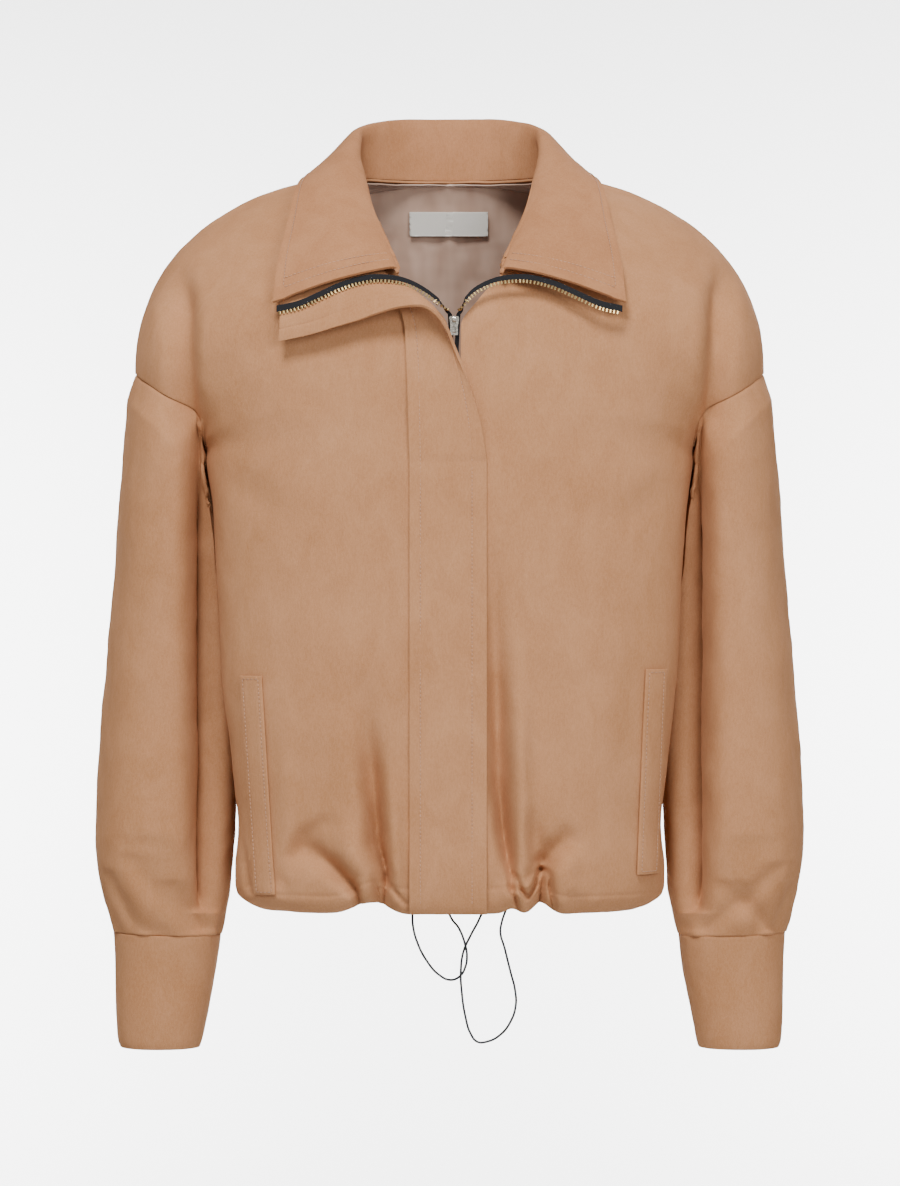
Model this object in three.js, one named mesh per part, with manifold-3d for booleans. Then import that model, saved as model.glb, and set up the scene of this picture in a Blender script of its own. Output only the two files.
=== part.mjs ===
// Suede jacket, filled out as if worn: cropped boxy body, drop shoulders, wide sleeves on deep cuffs,
// funnel collar unzipped and folded open, fly placket over a metal zip, drawcord hem.
// Millimetres, +Z up, the front faces -Y. The origin is the middle of the neck opening at the neck base.
// "left" and "right" are the wearer's, so "right" lies at -X.
import * as THREE from 'three';
import Module from 'manifold-3d';
import { mergeVertices } from 'three/addons/utils/BufferGeometryUtils.js';

// Driving dimensions
const SUEDE_WALL = 1.8;
const DOUBLE_WALL = 2.2;
const LINING_WALL = 1.0;
const LINING_SINK = 3.8;
const SEAM_GAP = 0.3;
const ZIP_X = 3.5;
const FRONT_EDGE_FROM_ZIP = 5;
const PLACKET_HALF_WIDTH = 30;
const TAPE_WIDTH = 13;
const TAPE_WALL = 1.0;
const TAPE_NARROW = 3.2;
const TAPE_SHOWING = 5;
const CORD_DIAMETER = 1.8;
const SLIDER = { width: 7.4, topZ: -106, bottomZ: -118, faceY: -121.4, thick: 3.2 };
const PULL_TAB = { width: 5.8, long: 13, thick: 1.1, barHigh: 1.3, windowWide: 3.4, windowHigh: 3.8 };
const HINGE = { y: -123.4, z: -108.2, holeRadius: 1.4, armWide: 2.2, armThick: 1.1 };
const HALF_CHEST = { x: 300, y: 120 };
const SHOULDER_FALL = 22;
const LABEL_WIDTH = 63;
const LABEL_HEIGHT = 19;
const CUFF_BOTTOM_Z = -667;

// Rows of cloth from the shoulder seam down to the turned hem, as wearer's left half.
// inner = the centre front or neckline end of the row, outer = its armhole or side-seam end,
// square = how boxy the row bends, dent = how far the side is pressed in behind its front corner.
const FRONT_ROWS = [
  { innerX: 82, innerY: 3, innerZ: 12, outerX: 245, outerY: 0, outerZ: -143, square: 2.3, dent: 0 },
  { innerX: 76, innerY: -26, innerZ: -2, outerX: 243, outerY: -22, outerZ: -145, square: 2.3, dent: 0 },
  { innerX: 66, innerY: -56, innerZ: -25, outerX: 237, outerY: -43, outerZ: -150, square: 2.35, dent: 0 },
  { innerX: 53, innerY: -82, innerZ: -49, outerX: 227, outerY: -61, outerZ: -157, square: 2.4, dent: 0 },
  { innerX: 40, innerY: -104, innerZ: -72, outerX: 214, outerY: -72, outerZ: -166, square: 2.45, dent: 0 },
  { innerX: 20, innerY: -113, innerZ: -93, outerX: 201, outerY: -75, outerZ: -175, square: 2.55, dent: 0 },
  { innerX: 5, innerY: -117, innerZ: -114, outerX: 193, outerY: -69, outerZ: -184, square: 2.6, dent: 0.5 },
  { innerX: 5, innerY: -120, innerZ: -142, outerX: 189, outerY: -54, outerZ: -195, square: 2.7, dent: 0.5 },
  { innerX: 5, innerY: -122, innerZ: -172, outerX: 187, outerY: -29, outerZ: -206, square: 2.75, dent: 4 },
  { innerX: 5, innerY: -123, innerZ: -202, outerX: 187, outerY: 0, outerZ: -213, square: 2.8, dent: 6 },
  { innerX: 5, innerY: -124, innerZ: -245, outerX: 174, outerY: 0, outerZ: -246, square: 2.8, dent: 20 },
  { innerX: 5, innerY: -124, innerZ: -318, outerX: 168, outerY: 0, outerZ: -318, square: 2.8, dent: 22 },
  { innerX: 5, innerY: -124, innerZ: -382, outerX: 163, outerY: 0, outerZ: -382, square: 2.8, dent: 24 },
  { innerX: 5, innerY: -124, innerZ: -440, outerX: 158, outerY: 0, outerZ: -440, square: 2.8, dent: 21 },
  { innerX: 5, innerY: -124, innerZ: -490, outerX: 156, outerY: 0, outerZ: -490, square: 2.8, dent: 16 },
  { innerX: 5, innerY: -124, innerZ: -520, outerX: 159, outerY: 0, outerZ: -520, square: 2.8, dent: 15 },
  { innerX: 5, innerY: -122, innerZ: -542, outerX: 160, outerY: 0, outerZ: -541, square: 2.8, dent: 13 },
  { innerX: 5, innerY: -118, innerZ: -553, outerX: 153, outerY: 0, outerZ: -551, square: 2.8, dent: 10 },
  { innerX: 5, innerY: -112, innerZ: -557, outerX: 143, outerY: 0, outerZ: -556, square: 2.8, dent: 6 },
  { innerX: 5, innerY: -105, innerZ: -555, outerX: 134, outerY: 0, outerZ: -554, square: 2.8, dent: 3 },
];
const BACK_ROWS = [
  { innerX: 82, innerY: 3, innerZ: 12, outerX: 245, outerY: 0, outerZ: -143, square: 2.3, dent: 0 },
  { innerX: 73, innerY: 33, innerZ: 12.6, outerX: 243, outerY: 24, outerZ: -145, square: 2.3, dent: 0 },
  { innerX: 57, innerY: 56, innerZ: 13.2, outerX: 237, outerY: 47, outerZ: -150, square: 2.3, dent: 0 },
  { innerX: 31, innerY: 72, innerZ: 13.8, outerX: 227, outerY: 67, outerZ: -157, square: 2.3, dent: 0 },
  { innerX: 0, innerY: 78, innerZ: 14, outerX: 214, outerY: 80, outerZ: -166, square: 2.35, dent: 0 },
  { innerX: 0, innerY: 93, innerZ: -24, outerX: 201, outerY: 83, outerZ: -175, square: 2.4, dent: 0 },
  { innerX: 0, innerY: 103, innerZ: -70, outerX: 193, outerY: 78, outerZ: -184, square: 2.45, dent: 0.5 },
  { innerX: 0, innerY: 109, innerZ: -118, outerX: 189, outerY: 60, outerZ: -195, square: 2.5, dent: 0.5 },
  { innerX: 0, innerY: 112, innerZ: -160, outerX: 187, outerY: 32, outerZ: -206, square: 2.55, dent: 3 },
  { innerX: 0, innerY: 113, innerZ: -200, outerX: 187, outerY: 0, outerZ: -213, square: 2.6, dent: 4 },
  { innerX: 0, innerY: 113, innerZ: -245, outerX: 174, outerY: 0, outerZ: -246, square: 2.6, dent: 10 },
  { innerX: 0, innerY: 112, innerZ: -318, outerX: 168, outerY: 0, outerZ: -318, square: 2.6, dent: 13 },
  { innerX: 0, innerY: 113, innerZ: -382, outerX: 163, outerY: 0, outerZ: -382, square: 2.6, dent: 14 },
  { innerX: 0, innerY: 116, innerZ: -440, outerX: 158, outerY: 0, outerZ: -440, square: 2.6, dent: 13 },
  { innerX: 0, innerY: 119, innerZ: -490, outerX: 156, outerY: 0, outerZ: -490, square: 2.6, dent: 13 },
  { innerX: 0, innerY: 120, innerZ: -520, outerX: 159, outerY: 0, outerZ: -520, square: 2.6, dent: 12 },
  { innerX: 0, innerY: 118, innerZ: -542, outerX: 160, outerY: 0, outerZ: -541, square: 2.6, dent: 11 },
  { innerX: 0, innerY: 114, innerZ: -553, outerX: 153, outerY: 0, outerZ: -551, square: 2.6, dent: 8 },
  { innerX: 0, innerY: 108, innerZ: -557, outerX: 143, outerY: 0, outerZ: -556, square: 2.6, dent: 5 },
  { innerX: 0, innerY: 101, innerZ: -555, outerX: 134, outerY: 0, outerZ: -554, square: 2.6, dent: 3 },
];
const UNDERARM_ROW = 9;

// Creases: a trough runs from its top to its bottom point, seen from the front or the back.
// depth is how far it sinks (a ridge is negative), half is its half-width.
const FRONT_CREASES = [
  { topX: -207, topZ: -56, bottomX: -203, bottomZ: -180, half: 10.5, depth: 17 },
  { topX: 211, topZ: -54, bottomX: 204, bottomZ: -180, half: 10.5, depth: 16 },
  { topX: -64, topZ: -400, bottomX: -50, bottomZ: -552, half: 9, depth: 9 },
  { topX: -45, topZ: -440, bottomX: -38, bottomZ: -548, half: 8, depth: -3 },
  { topX: -80, topZ: -470, bottomX: -70, bottomZ: -548, half: 12, depth: -4 },
  { topX: -92, topZ: -490, bottomX: -126, bottomZ: -532, half: 10, depth: 4 },
  { topX: 50, topZ: -360, bottomX: 49, bottomZ: -545, half: 8, depth: -3 },
  { topX: 42, topZ: -290, bottomX: 42, bottomZ: -530, half: 6, depth: 2.5 },
  { topX: 62, topZ: -470, bottomX: 71, bottomZ: -553, half: 9, depth: 9 },
  { topX: 86, topZ: -500, bottomX: 84, bottomZ: -548, half: 11, depth: -4 },
];
const BACK_CREASES = [
  { topX: -204, topZ: -66, bottomX: -199, bottomZ: -152, half: 13, depth: 5 },
  { topX: 205, topZ: -68, bottomX: 193, bottomZ: -172, half: 12, depth: 7 },
  { topX: -95, topZ: -400, bottomX: -84, bottomZ: -552, half: 13, depth: 6 },
  { topX: -40, topZ: -450, bottomX: -34, bottomZ: -552, half: 13, depth: 5 },
  { topX: 22, topZ: -420, bottomX: 18, bottomZ: -552, half: 12, depth: 6 },
  { topX: 74, topZ: -460, bottomX: 70, bottomZ: -552, half: 13, depth: 5 },
  { topX: 120, topZ: -430, bottomX: 112, bottomZ: -552, half: 12, depth: 5 },
];

// Sleeve rings from the armhole to the cuff seam, wearer's left. The first ring is the armhole itself.
// outer and inner are the ring's two sides, seen from the front; mid and deep are its middle and its
// half-depth from front to back.
const SLEEVE_RINGS = [
  { outerX: 251, outerZ: -164, innerX: 172, innerZ: -236, mid: 4, deep: 80 },
  { outerX: 254, outerZ: -195, innerX: 171, innerZ: -258, mid: 6, deep: 81 },
  { outerX: 258, outerZ: -235, innerX: 170, innerZ: -285, mid: 9, deep: 81 },
  { outerX: 262, outerZ: -288, innerX: 169, innerZ: -318, mid: 12, deep: 80 },
  { outerX: 267, outerZ: -340, innerX: 168, innerZ: -355, mid: 14, deep: 78 },
  { outerX: 271, outerZ: -392, innerX: 167, innerZ: -398, mid: 14, deep: 77 },
  { outerX: 275, outerZ: -444, innerX: 166, innerZ: -444, mid: 12, deep: 76 },
  { outerX: 276.5, outerZ: -488, innerX: 167, innerZ: -486, mid: 9, deep: 74 },
  { outerX: 275.5, outerZ: -518, innerX: 169, innerZ: -518, mid: 6, deep: 70 },
  { outerX: 272, outerZ: -542, innerX: 171, innerZ: -546, mid: 3, deep: 62 },
  { outerX: 267, outerZ: -561, innerX: 174.5, innerZ: -565, mid: 1, deep: 52 },
  { outerX: 262, outerZ: -577.4, innerX: 178, innerZ: -579.4, mid: 0, deep: 43.5 },
];
const CUFF_RINGS = [
  { outerX: 261.7, outerZ: -577.45, innerX: 178.1, innerZ: -579.45, mid: 0, deep: 43.2 },
  { outerX: 260.4, outerZ: -608, innerX: 182, innerZ: -608, mid: 0, deep: 40 },
  { outerX: 259.8, outerZ: -640, innerX: 188, innerZ: -640, mid: -1, deep: 38 },
  { outerX: 258.6, outerZ: -660, innerX: 192, innerZ: -660, mid: -1, deep: 36.5 },
  { outerX: 256.5, outerZ: CUFF_BOTTOM_Z, innerX: 194, innerZ: CUFF_BOTTOM_Z, mid: -1, deep: 35 },
];
// Creases of the sleeve: angle is round the ring (0 outer side, 90 front), at = share of the way down.
const SLEEVE_CREASES = [
  { angle: 121, slope: 12, from: 0, to: 0.9, halfAngle: 17, depth: 42 },
  { angle: 80, slope: 60, from: 0.7, to: 0.98, halfAngle: 20, depth: 5 },
  { angle: 240, slope: 14, from: 0.05, to: 0.85, halfAngle: 18, depth: 6 },
  { angle: 300, slope: -30, from: 0.62, to: 0.98, halfAngle: 18, depth: 4 },
];

// Collar sections from the centre back to the front end, wearer's left: seam on the neckline, roll on
// the fold, edge on the free edge. crown is how far the fall bulges off a straight line.
const COLLAR_ROWS = [
  {
    seamX: 0, seamY: 78, seamZ: 14.5, rollX: 0, rollY: 87, rollZ: 64.5,
    edgeX: 0, edgeY: 112, edgeZ: 15, crown: 5,
  },
  {
    seamX: 31, seamY: 72, seamZ: 14.4, rollX: 33, rollY: 80, rollZ: 64,
    edgeX: 42, edgeY: 108, edgeZ: 14, crown: 5,
  },
  {
    seamX: 57, seamY: 56, seamZ: 14, rollX: 59, rollY: 62, rollZ: 59,
    edgeX: 83, edgeY: 84, edgeZ: 12, crown: 5,
  },
  {
    seamX: 73, seamY: 33, seamZ: 13.6, rollX: 71, rollY: 38, rollZ: 50,
    edgeX: 103, edgeY: 46, edgeZ: 14, crown: 5,
  },
  {
    seamX: 82, seamY: 3, seamZ: 13.2, rollX: 72, rollY: 9, rollZ: 34,
    edgeX: 112, edgeY: 6, edgeZ: 11.5, crown: 5,
  },
  {
    seamX: 76.4, seamY: -26.6, seamZ: -0.6, rollX: 66, rollY: -28, rollZ: 7,
    edgeX: 118.5, edgeY: -36, edgeZ: -0.5, crown: 6,
  },
  {
    seamX: 66, seamY: -57.2, seamZ: -23.6, rollX: 58, rollY: -64, rollZ: -24,
    edgeX: 124, edgeY: -73, edgeZ: -32, crown: 7,
  },
  {
    seamX: 52.6, seamY: -84, seamZ: -47.6, rollX: 48, rollY: -93, rollZ: -48,
    edgeX: 130, edgeY: -103, edgeZ: -64, crown: 8,
  },
  {
    seamX: 39, seamY: -107, seamZ: -70, rollX: 40, rollY: -118, rollZ: -69,
    edgeX: 133, edgeY: -122, edgeZ: -95, crown: 7,
  },
];

// The line of the zip's teeth from the slider to the collar's tip; lift is the height off the chest.
const TEETH_LINE = [
  { x: 1.6, z: -104.5, lift: -1.1 },
  { x: 8, z: -98, lift: 6 },
  { x: 16, z: -90, lift: 10 },
  { x: 27, z: -83.5, lift: 13 },
  { x: 40, z: -79.5, lift: 15 },
  { x: 54, z: -78.5, lift: 16 },
  { x: 68, z: -80.5, lift: 16 },
  { x: 82, z: -85, lift: 16 },
  { x: 98, z: -92.5, lift: 15 },
  { x: 114, z: -99.5, lift: 14 },
  { x: 130, z: -103, lift: 13 },
];

// The fly placket above the chest: where its seam, its sewing line and its free edge run as it turns over
// beside the slider and lies under the wearer's right collar wing.
const PLACKET_TURN = [
  {
    seamX: -30, seamZ: -215, seamLift: 2.8,
    sewX: -1, sewZ: -215, sewLift: 2.8, freeX: 28, freeZ: -215, freeLift: 3,
  },
  {
    seamX: -31, seamZ: -180, seamLift: 2.8,
    sewX: -2, sewZ: -180, sewLift: 2.9, freeX: 23, freeZ: -184, freeLift: 4,
  },
  {
    seamX: -32, seamZ: -150, seamLift: 2.9,
    sewX: -4, sewZ: -150, sewLift: 3.8, freeX: 14, freeZ: -156, freeLift: 7,
  },
  {
    seamX: -33, seamZ: -128, seamLift: 3,
    sewX: -7, sewZ: -128, sewLift: 5.5, freeX: 4, freeZ: -133, freeLift: 12,
  },
  {
    seamX: -34, seamZ: -113, seamLift: 3.2,
    sewX: -11, sewZ: -112, sewLift: 8, freeX: -3, freeZ: -117, freeLift: 19,
  },
  {
    seamX: -38, seamZ: -98, seamLift: 3.6,
    sewX: -17, sewZ: -99, sewLift: 10, freeX: -12, freeZ: -105, freeLift: 23,
  },
  {
    seamX: -44, seamZ: -84, seamLift: 4,
    sewX: -28, sewZ: -88, sewLift: 11, freeX: -23, freeZ: -100, freeLift: 23,
  },
  {
    seamX: -50, seamZ: -74, seamLift: 4,
    sewX: -41, sewZ: -84, sewLift: 11.4, freeX: -37, freeZ: -101, freeLift: 20,
  },
  {
    seamX: -60, seamZ: -67, seamLift: 4,
    sewX: -55, sewZ: -82, sewLift: 11.4, freeX: -53, freeZ: -105, freeLift: 16,
  },
  {
    seamX: -74, seamZ: -67, seamLift: 4,
    sewX: -69, sewZ: -84, sewLift: 11.4, freeX: -68, freeZ: -110, freeLift: 14,
  },
  {
    seamX: -90, seamZ: -71, seamLift: 4,
    sewX: -86, sewZ: -90, sewLift: 11, freeX: -86, freeZ: -115, freeLift: 13,
  },
  {
    seamX: -107, seamZ: -77, seamLift: 4,
    sewX: -103, sewZ: -97, sewLift: 10.2, freeX: -104, freeZ: -120, freeLift: 12,
  },
  {
    seamX: -127, seamZ: -83, seamLift: 4,
    sewX: -127, sewZ: -103, sewLift: 9, freeX: -128, freeZ: -125, freeLift: 11,
  },
];

// Pocket welts as seen from the front: the two side edges at the top and at the bottom.
const POCKET_WELTS = [
  {
    name: 'pocket_welt_right', side: -1, topZ: -377, bottomZ: -543,
    topOut: 158, topIn: 141, bottomOut: 147, bottomIn: 131,
  },
  {
    name: 'pocket_welt_left', side: 1, topZ: -372, bottomZ: -528,
    topOut: 164, topIn: 148, bottomOut: 158, bottomIn: 141,
  },
];

// Routes of the two loops of elastic cord below the hem, chosen by eye from the hem to the hem.
const DRAWCORD_A = [
  [-28, -103.1, -553.5], [-27.6, -104, -566], [-24, -107, -579], [-17, -111, -592], [-8, -114, -602],
  [1, -114, -606], [8, -114, -603], [12, -115, -596], [13.2, -116, -588], [11.5, -117, -578],
  [7, -112, -567], [2, -106, -561], [-2, -103.1, -553],
];
const DRAWCORD_B = [
  [26, -103.3, -553], [22, -104.4, -562], [16, -107, -573], [10.5, -112, -585], [8.6, -109, -600],
  [9.5, -107, -618], [12, -108, -634], [16, -109, -647], [21, -110, -653], [28, -110, -653],
  [38, -110, -648], [46, -110, -638], [50, -109, -626], [49.5, -109, -614], [46, -109, -600],
  [41.5, -109, -582], [38.5, -108, -571], [39.6, -104.2, -563], [43, -103.1, -553],
];

const SUEDE = { color: 0xbd9376, roughness: 0.95, metalness: 0 };
const SATIN = { color: 0xa68977, roughness: 0.5, metalness: 0 };
const WOVEN_WHITE = { color: 0xeeedea, roughness: 0.8, metalness: 0 };
const BLACK_TAPE = { color: 0x26262a, roughness: 0.85, metalness: 0 };
const SILVER = { color: 0xd8d2c4, roughness: 0.3, metalness: 1 };

const garment = new THREE.Group();

function place(name, geometry, finish) {
  const mesh = new THREE.Mesh(geometry, new THREE.MeshStandardMaterial(finish));
  mesh.name = name;
  garment.add(mesh);
}

// The slope at a table's value between two steps, kept so gentle that the curve never overshoots.
function gentleSlope(stepBefore, stepAfter) {
  if (stepBefore * stepAfter <= 0) {
    return 0;
  }
  const least = 2 * Math.min(Math.abs(stepBefore), Math.abs(stepAfter));
  return Math.sign(stepBefore) * Math.min(Math.abs(stepBefore + stepAfter) / 2, least);
}

// Smooth reading of a table at a fractional row: each column is a cubic through its values.
function readTable(rows, at) {
  const last = rows.length - 1;
  const low = Math.min(Math.max(Math.floor(at), 0), last - 1);
  const t = at - low;
  const before = rows[Math.max(low - 1, 0)];
  const after = rows[Math.min(low + 2, last)];
  const values = {};
  for (const column of Object.keys(rows[0])) {
    const from = rows[low][column];
    const to = rows[low + 1][column];
    const slopeFrom = low > 0 ? gentleSlope(from - before[column], to - from) : to - from;
    const slopeTo = low + 2 <= last ? gentleSlope(to - from, after[column] - to) : to - from;
    const bend = 2 * t ** 3 - 3 * t ** 2;
    values[column] = (bend + 1) * from - bend * to
      + (t ** 3 - 2 * t ** 2 + t) * slopeFrom + (t ** 3 - t ** 2) * slopeTo;
  }
  return values;
}

function softStep(value) {
  const t = Math.min(Math.max(value, 0), 1);
  return t * t * (3 - 2 * t);
}

// How far a crease table sinks the cloth at (x, z), with ends that fade out.
function creaseDepth(creases, x, z) {
  let sum = 0;
  for (const crease of creases) {
    const runX = crease.bottomX - crease.topX;
    const runZ = crease.bottomZ - crease.topZ;
    const along = ((x - crease.topX) * runX + (z - crease.topZ) * runZ) / (runX * runX + runZ * runZ);
    const held = Math.min(Math.max(along, 0), 1);
    const across = Math.hypot(x - crease.topX - held * runX, z - crease.topZ - held * runZ);
    sum += crease.depth * softStep(held * 2.5) * Math.exp(-((across / crease.half) ** 2));
  }
  return sum;
}

// A point of a body panel: row is a fractional row of its table, turn runs from 0 at the centre to 1 at
// the side, and side is -1 or 1. The zip lies a little off centre, and the fronts stop short of it.
function bodyPoint(rows, creases, side, row, turn) {
  const section = readTable(rows, row);
  const zipShift = rows === FRONT_ROWS ? side * ZIP_X * softStep((row - NECK_ROW) / 2) : 0;
  const innerX = section.innerX + zipShift;
  const angle = turn * Math.PI / 2;
  const out = Math.sin(angle) ** (2 / section.square);
  const hold = Math.cos(angle) ** (2 / section.square);
  const cornerX = section.outerX + section.dent;
  const x = side * (innerX + (cornerX - innerX) * out - section.dent * turn ** 6);
  const y = section.outerY + (section.innerY - section.outerY) * hold;
  const fall = SHOULDER_FALL * softStep(1 - row / 6);
  const z = section.innerZ - fall * out + (section.outerZ - section.innerZ + fall) * (1 - hold);
  const point = new THREE.Vector3(x, y, z);
  const outward = new THREE.Vector3(x / HALF_CHEST.x ** 2, y / HALF_CHEST.y ** 2, 0).normalize();
  return point.addScaledVector(outward, -creaseDepth(creases, x, z));
}

// The height of the plain chest under the collar and placket, at a point seen from the front.
function chestY(x, z) {
  const depth = 103 + 14 * softStep((-66 - z) / 40) + 7 * softStep((-100 - z) / 90);
  const halfWidth = 228 + 38 * softStep((-70 - z) / 25);
  return -depth * (1 - (Math.abs(x) / halfWidth) ** 2.5) ** 0.4;
}

// A closed wall of cloth from a grid of outer points, thickened to its back. cells(row, column) leaves
// gaps such as a neck, onSeam(row, column) keeps a seam's cut edge square to the panel that it meets, and
// turned says that the grid runs the other way round.
function clothWall(grid, wall, { cells = () => true, onSeam = () => false, turned = false } = {}) {
  const places = [];
  const known = new Map();
  const seamCorners = new Set();
  const index = grid.map((line, row) => line.map((point, column) => {
    const key = [point.x, point.y, point.z].map((value) => Math.round(value * 1000)).join();
    if (!known.has(key)) {
      known.set(key, places.length);
      places.push(point.clone());
    }
    if (onSeam(row, column)) {
      seamCorners.add(known.get(key));
    }
    return known.get(key);
  }));
  const faces = [];
  for (let row = 0; row + 1 < grid.length; row += 1) {
    for (let column = 0; column + 1 < grid[row].length; column += 1) {
      if (cells(row, column)) {
        const a = index[row][column];
        const b = index[row][column + 1];
        const c = index[row + 1][column + 1];
        const d = index[row + 1][column];
        const shortDiagonal = places[a].distanceTo(places[c]) <= places[b].distanceTo(places[d]);
        const pair = shortDiagonal ? [[a, b, c], [a, c, d]] : [[a, b, d], [b, c, d]];
        const real = pair.filter(([p, q, r]) => p !== q && q !== r && r !== p);
        faces.push(...real.map(([p, q, r]) => (turned ? [p, r, q] : [p, q, r])));
      }
    }
  }
  const normals = places.map(() => new THREE.Vector3());
  const edges = new Map();
  for (const face of faces) {
    const [a, b, c] = face.map((corner) => places[corner]);
    const normal = b.clone().sub(a).cross(c.clone().sub(a));
    face.forEach((corner) => normals[corner].add(normal));
    face.forEach((corner, step) => edges.set(`${corner},${face[(step + 1) % 3]}`, true));
  }
  seamCorners.forEach((corner) => normals[corner].setY(0));
  const count = places.length;
  const inside = places.map((point, corner) => (
    point.clone().addScaledVector(normals[corner].normalize(), -wall)
  ));
  const all = [...places, ...inside];
  const solid = [];
  for (const [a, b, c] of faces) {
    solid.push([a, b, c], [a + count, c + count, b + count]);
    for (const [from, to] of [[a, b], [b, c], [c, a]]) {
      if (!edges.has(`${to},${from}`)) {
        solid.push([to, from, from + count], [to, from + count, to + count]);
      }
    }
  }
  const geometry = new THREE.BufferGeometry();
  const used = [...new Set(solid.flat())];
  const renumber = new Map(used.map((corner, position) => [corner, position]));
  const positions = used.flatMap((corner) => all[corner].toArray());
  geometry.setAttribute('position', new THREE.Float32BufferAttribute(positions, 3));
  geometry.setIndex(solid.flat().map((corner) => renumber.get(corner)));
  return geometry;
}

function gridOf(rowCount, columnCount, pointAt) {
  const grid = [];
  for (let row = 0; row <= rowCount; row += 1) {
    const line = [];
    for (let column = 0; column <= columnCount; column += 1) {
      line.push(pointAt(row / rowCount, column / columnCount, row, column));
    }
    grid.push(line);
  }
  return grid;
}

const NECK_ROW = 4;
const LAST_BODY_ROW = FRONT_ROWS.length - 1;
const BODY_ROW_STEPS = 28;
const UNDERARM_STEP = UNDERARM_ROW / LAST_BODY_ROW * BODY_ROW_STEPS;

// A front panel's rows stop short of the zip and, by half a seam gap, of the back panel.
function frontPanel(side) {
  const columns = 13;
  const grid = gridOf(BODY_ROW_STEPS, columns, (down, across) => {
    const point = bodyPoint(FRONT_ROWS, FRONT_CREASES, side, down * LAST_BODY_ROW, across ** 1.15);
    point.y -= SEAM_GAP / 2;
    return point;
  });
  const onSeam = (row, column) => row === 0 || (column === columns && row > UNDERARM_STEP);
  return clothWall(grid, SUEDE_WALL, { turned: side > 0, onSeam });
}

// A sheet across the back between two rows, open at the neck, with a sink below the outer face.
function backSheet(rowFrom, rowTo, turnMost, sink, wall, rowSteps, halfColumns, pleat) {
  const neckSteps = 4;
  const rowAt = (row) => (row <= neckSteps ? rowFrom + (NECK_ROW - rowFrom) * row / neckSteps
    : NECK_ROW + (rowTo - NECK_ROW) * (row - neckSteps) / (rowSteps - neckSteps));
  const grid = gridOf(rowSteps, 2 * halfColumns + 1, (down, across, row, column) => {
    const side = column <= halfColumns ? 1 : -1;
    const step = side > 0 ? halfColumns - column : column - halfColumns - 1;
    const turn = turnMost * step / halfColumns;
    const point = sunkPoint(BACK_ROWS, BACK_CREASES, side, rowAt(row), turn, sink);
    point.y += SEAM_GAP / 2 - pleat * Math.exp(-((point.x / 5) ** 2));
    return point;
  });
  const cells = (row, column) => column !== halfColumns || row >= neckSteps;
  const onSeam = (row, column) => turnMost === 1
    && (row === 0 || ((column === 0 || column === 2 * halfColumns + 1) && rowAt(row) > UNDERARM_ROW));
  return clothWall(grid, wall, { cells, onSeam, turned: true });
}

// A panel point moved in by sink, square to the panel.
function sunkPoint(rows, creases, side, row, turn, sink) {
  const point = bodyPoint(rows, creases, side, row, turn);
  if (sink === 0) {
    return point;
  }
  const step = 0.02;
  const low = Math.min(row, rows.length - 1 - step);
  const down = bodyPoint(rows, creases, side, low + step, turn)
    .sub(bodyPoint(rows, creases, side, low, turn));
  const turnLow = Math.min(turn, 1 - step);
  const across = bodyPoint(rows, creases, side, row, turnLow + step)
    .sub(bodyPoint(rows, creases, side, row, turnLow));
  const normal = across.cross(down).normalize();
  if (normal.dot(new THREE.Vector3(point.x, point.y, point.z + 250)) < 0) {
    normal.negate();
  }
  return point.addScaledVector(normal, -sink);
}

// The panel point that shows at (x, z) from the front or the back, raised off the cloth by a height.
function raisedPoint(rows, creases, x, z, height) {
  const side = x < 0 ? -1 : 1;
  let lowRow = NECK_ROW;
  let highRow = rows.length - 1;
  let turn = 0;
  for (let pass = 0; pass < 22; pass += 1) {
    const row = (lowRow + highRow) / 2;
    let lowTurn = 0;
    let highTurn = 0.97;
    for (let trial = 0; trial < 18; trial += 1) {
      turn = (lowTurn + highTurn) / 2;
      if (side * bodyPoint(rows, creases, side, row, turn).x < side * x) {
        lowTurn = turn;
      } else {
        highTurn = turn;
      }
    }
    if (bodyPoint(rows, creases, side, row, turn).z > z) {
      lowRow = row;
    } else {
      highRow = row;
    }
  }
  return sunkPoint(rows, creases, side, lowRow, turn, -height);
}

// The torso's outer half-width at a height and depth below the armpit, which the sleeves stay clear of.
function torsoHalfWidth(y, z) {
  const rows = y < 0 ? FRONT_ROWS : BACK_ROWS;
  let row = UNDERARM_ROW;
  while (row < 16 && readTable(rows, row).outerZ > z) {
    row += 0.05;
  }
  const section = readTable(rows, row);
  const hold = Math.min(Math.abs(y / section.innerY), 1);
  const angle = Math.acos(hold ** (section.square / 2));
  const cornerX = section.outerX + section.dent;
  return cornerX * Math.sin(angle) ** (2 / section.square) - section.dent * (angle * 2 / Math.PI) ** 6;
}

// The armhole's loop: 0 at the shoulder, 90 at the front, 180 at the underarm, 270 at the back.
function armholePoint(side, angle) {
  const front = angle <= 180;
  const share = front ? angle / 180 : (360 - angle) / 180;
  const rows = front ? FRONT_ROWS : BACK_ROWS;
  const point = bodyPoint(rows, front ? FRONT_CREASES : BACK_CREASES, side, share * UNDERARM_ROW, 1);
  point.x *= side;
  return point;
}

const SLEEVE_SQUARE = 2.3;
const BODY_CLEARANCE = 3.5;

function ringPoint(ring, angle) {
  const turn = angle * Math.PI / 180;
  const across = Math.sign(Math.cos(turn)) * Math.abs(Math.cos(turn)) ** (2 / SLEEVE_SQUARE);
  const through = Math.sign(Math.sin(turn)) * Math.abs(Math.sin(turn)) ** (2 / SLEEVE_SQUARE);
  return new THREE.Vector3(
    (ring.outerX + ring.innerX) / 2 + across * (ring.outerX - ring.innerX) / 2,
    ring.mid - through * ring.deep,
    (ring.outerZ + ring.innerZ) / 2 + across * (ring.outerZ - ring.innerZ) / 2,
  );
}

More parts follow.
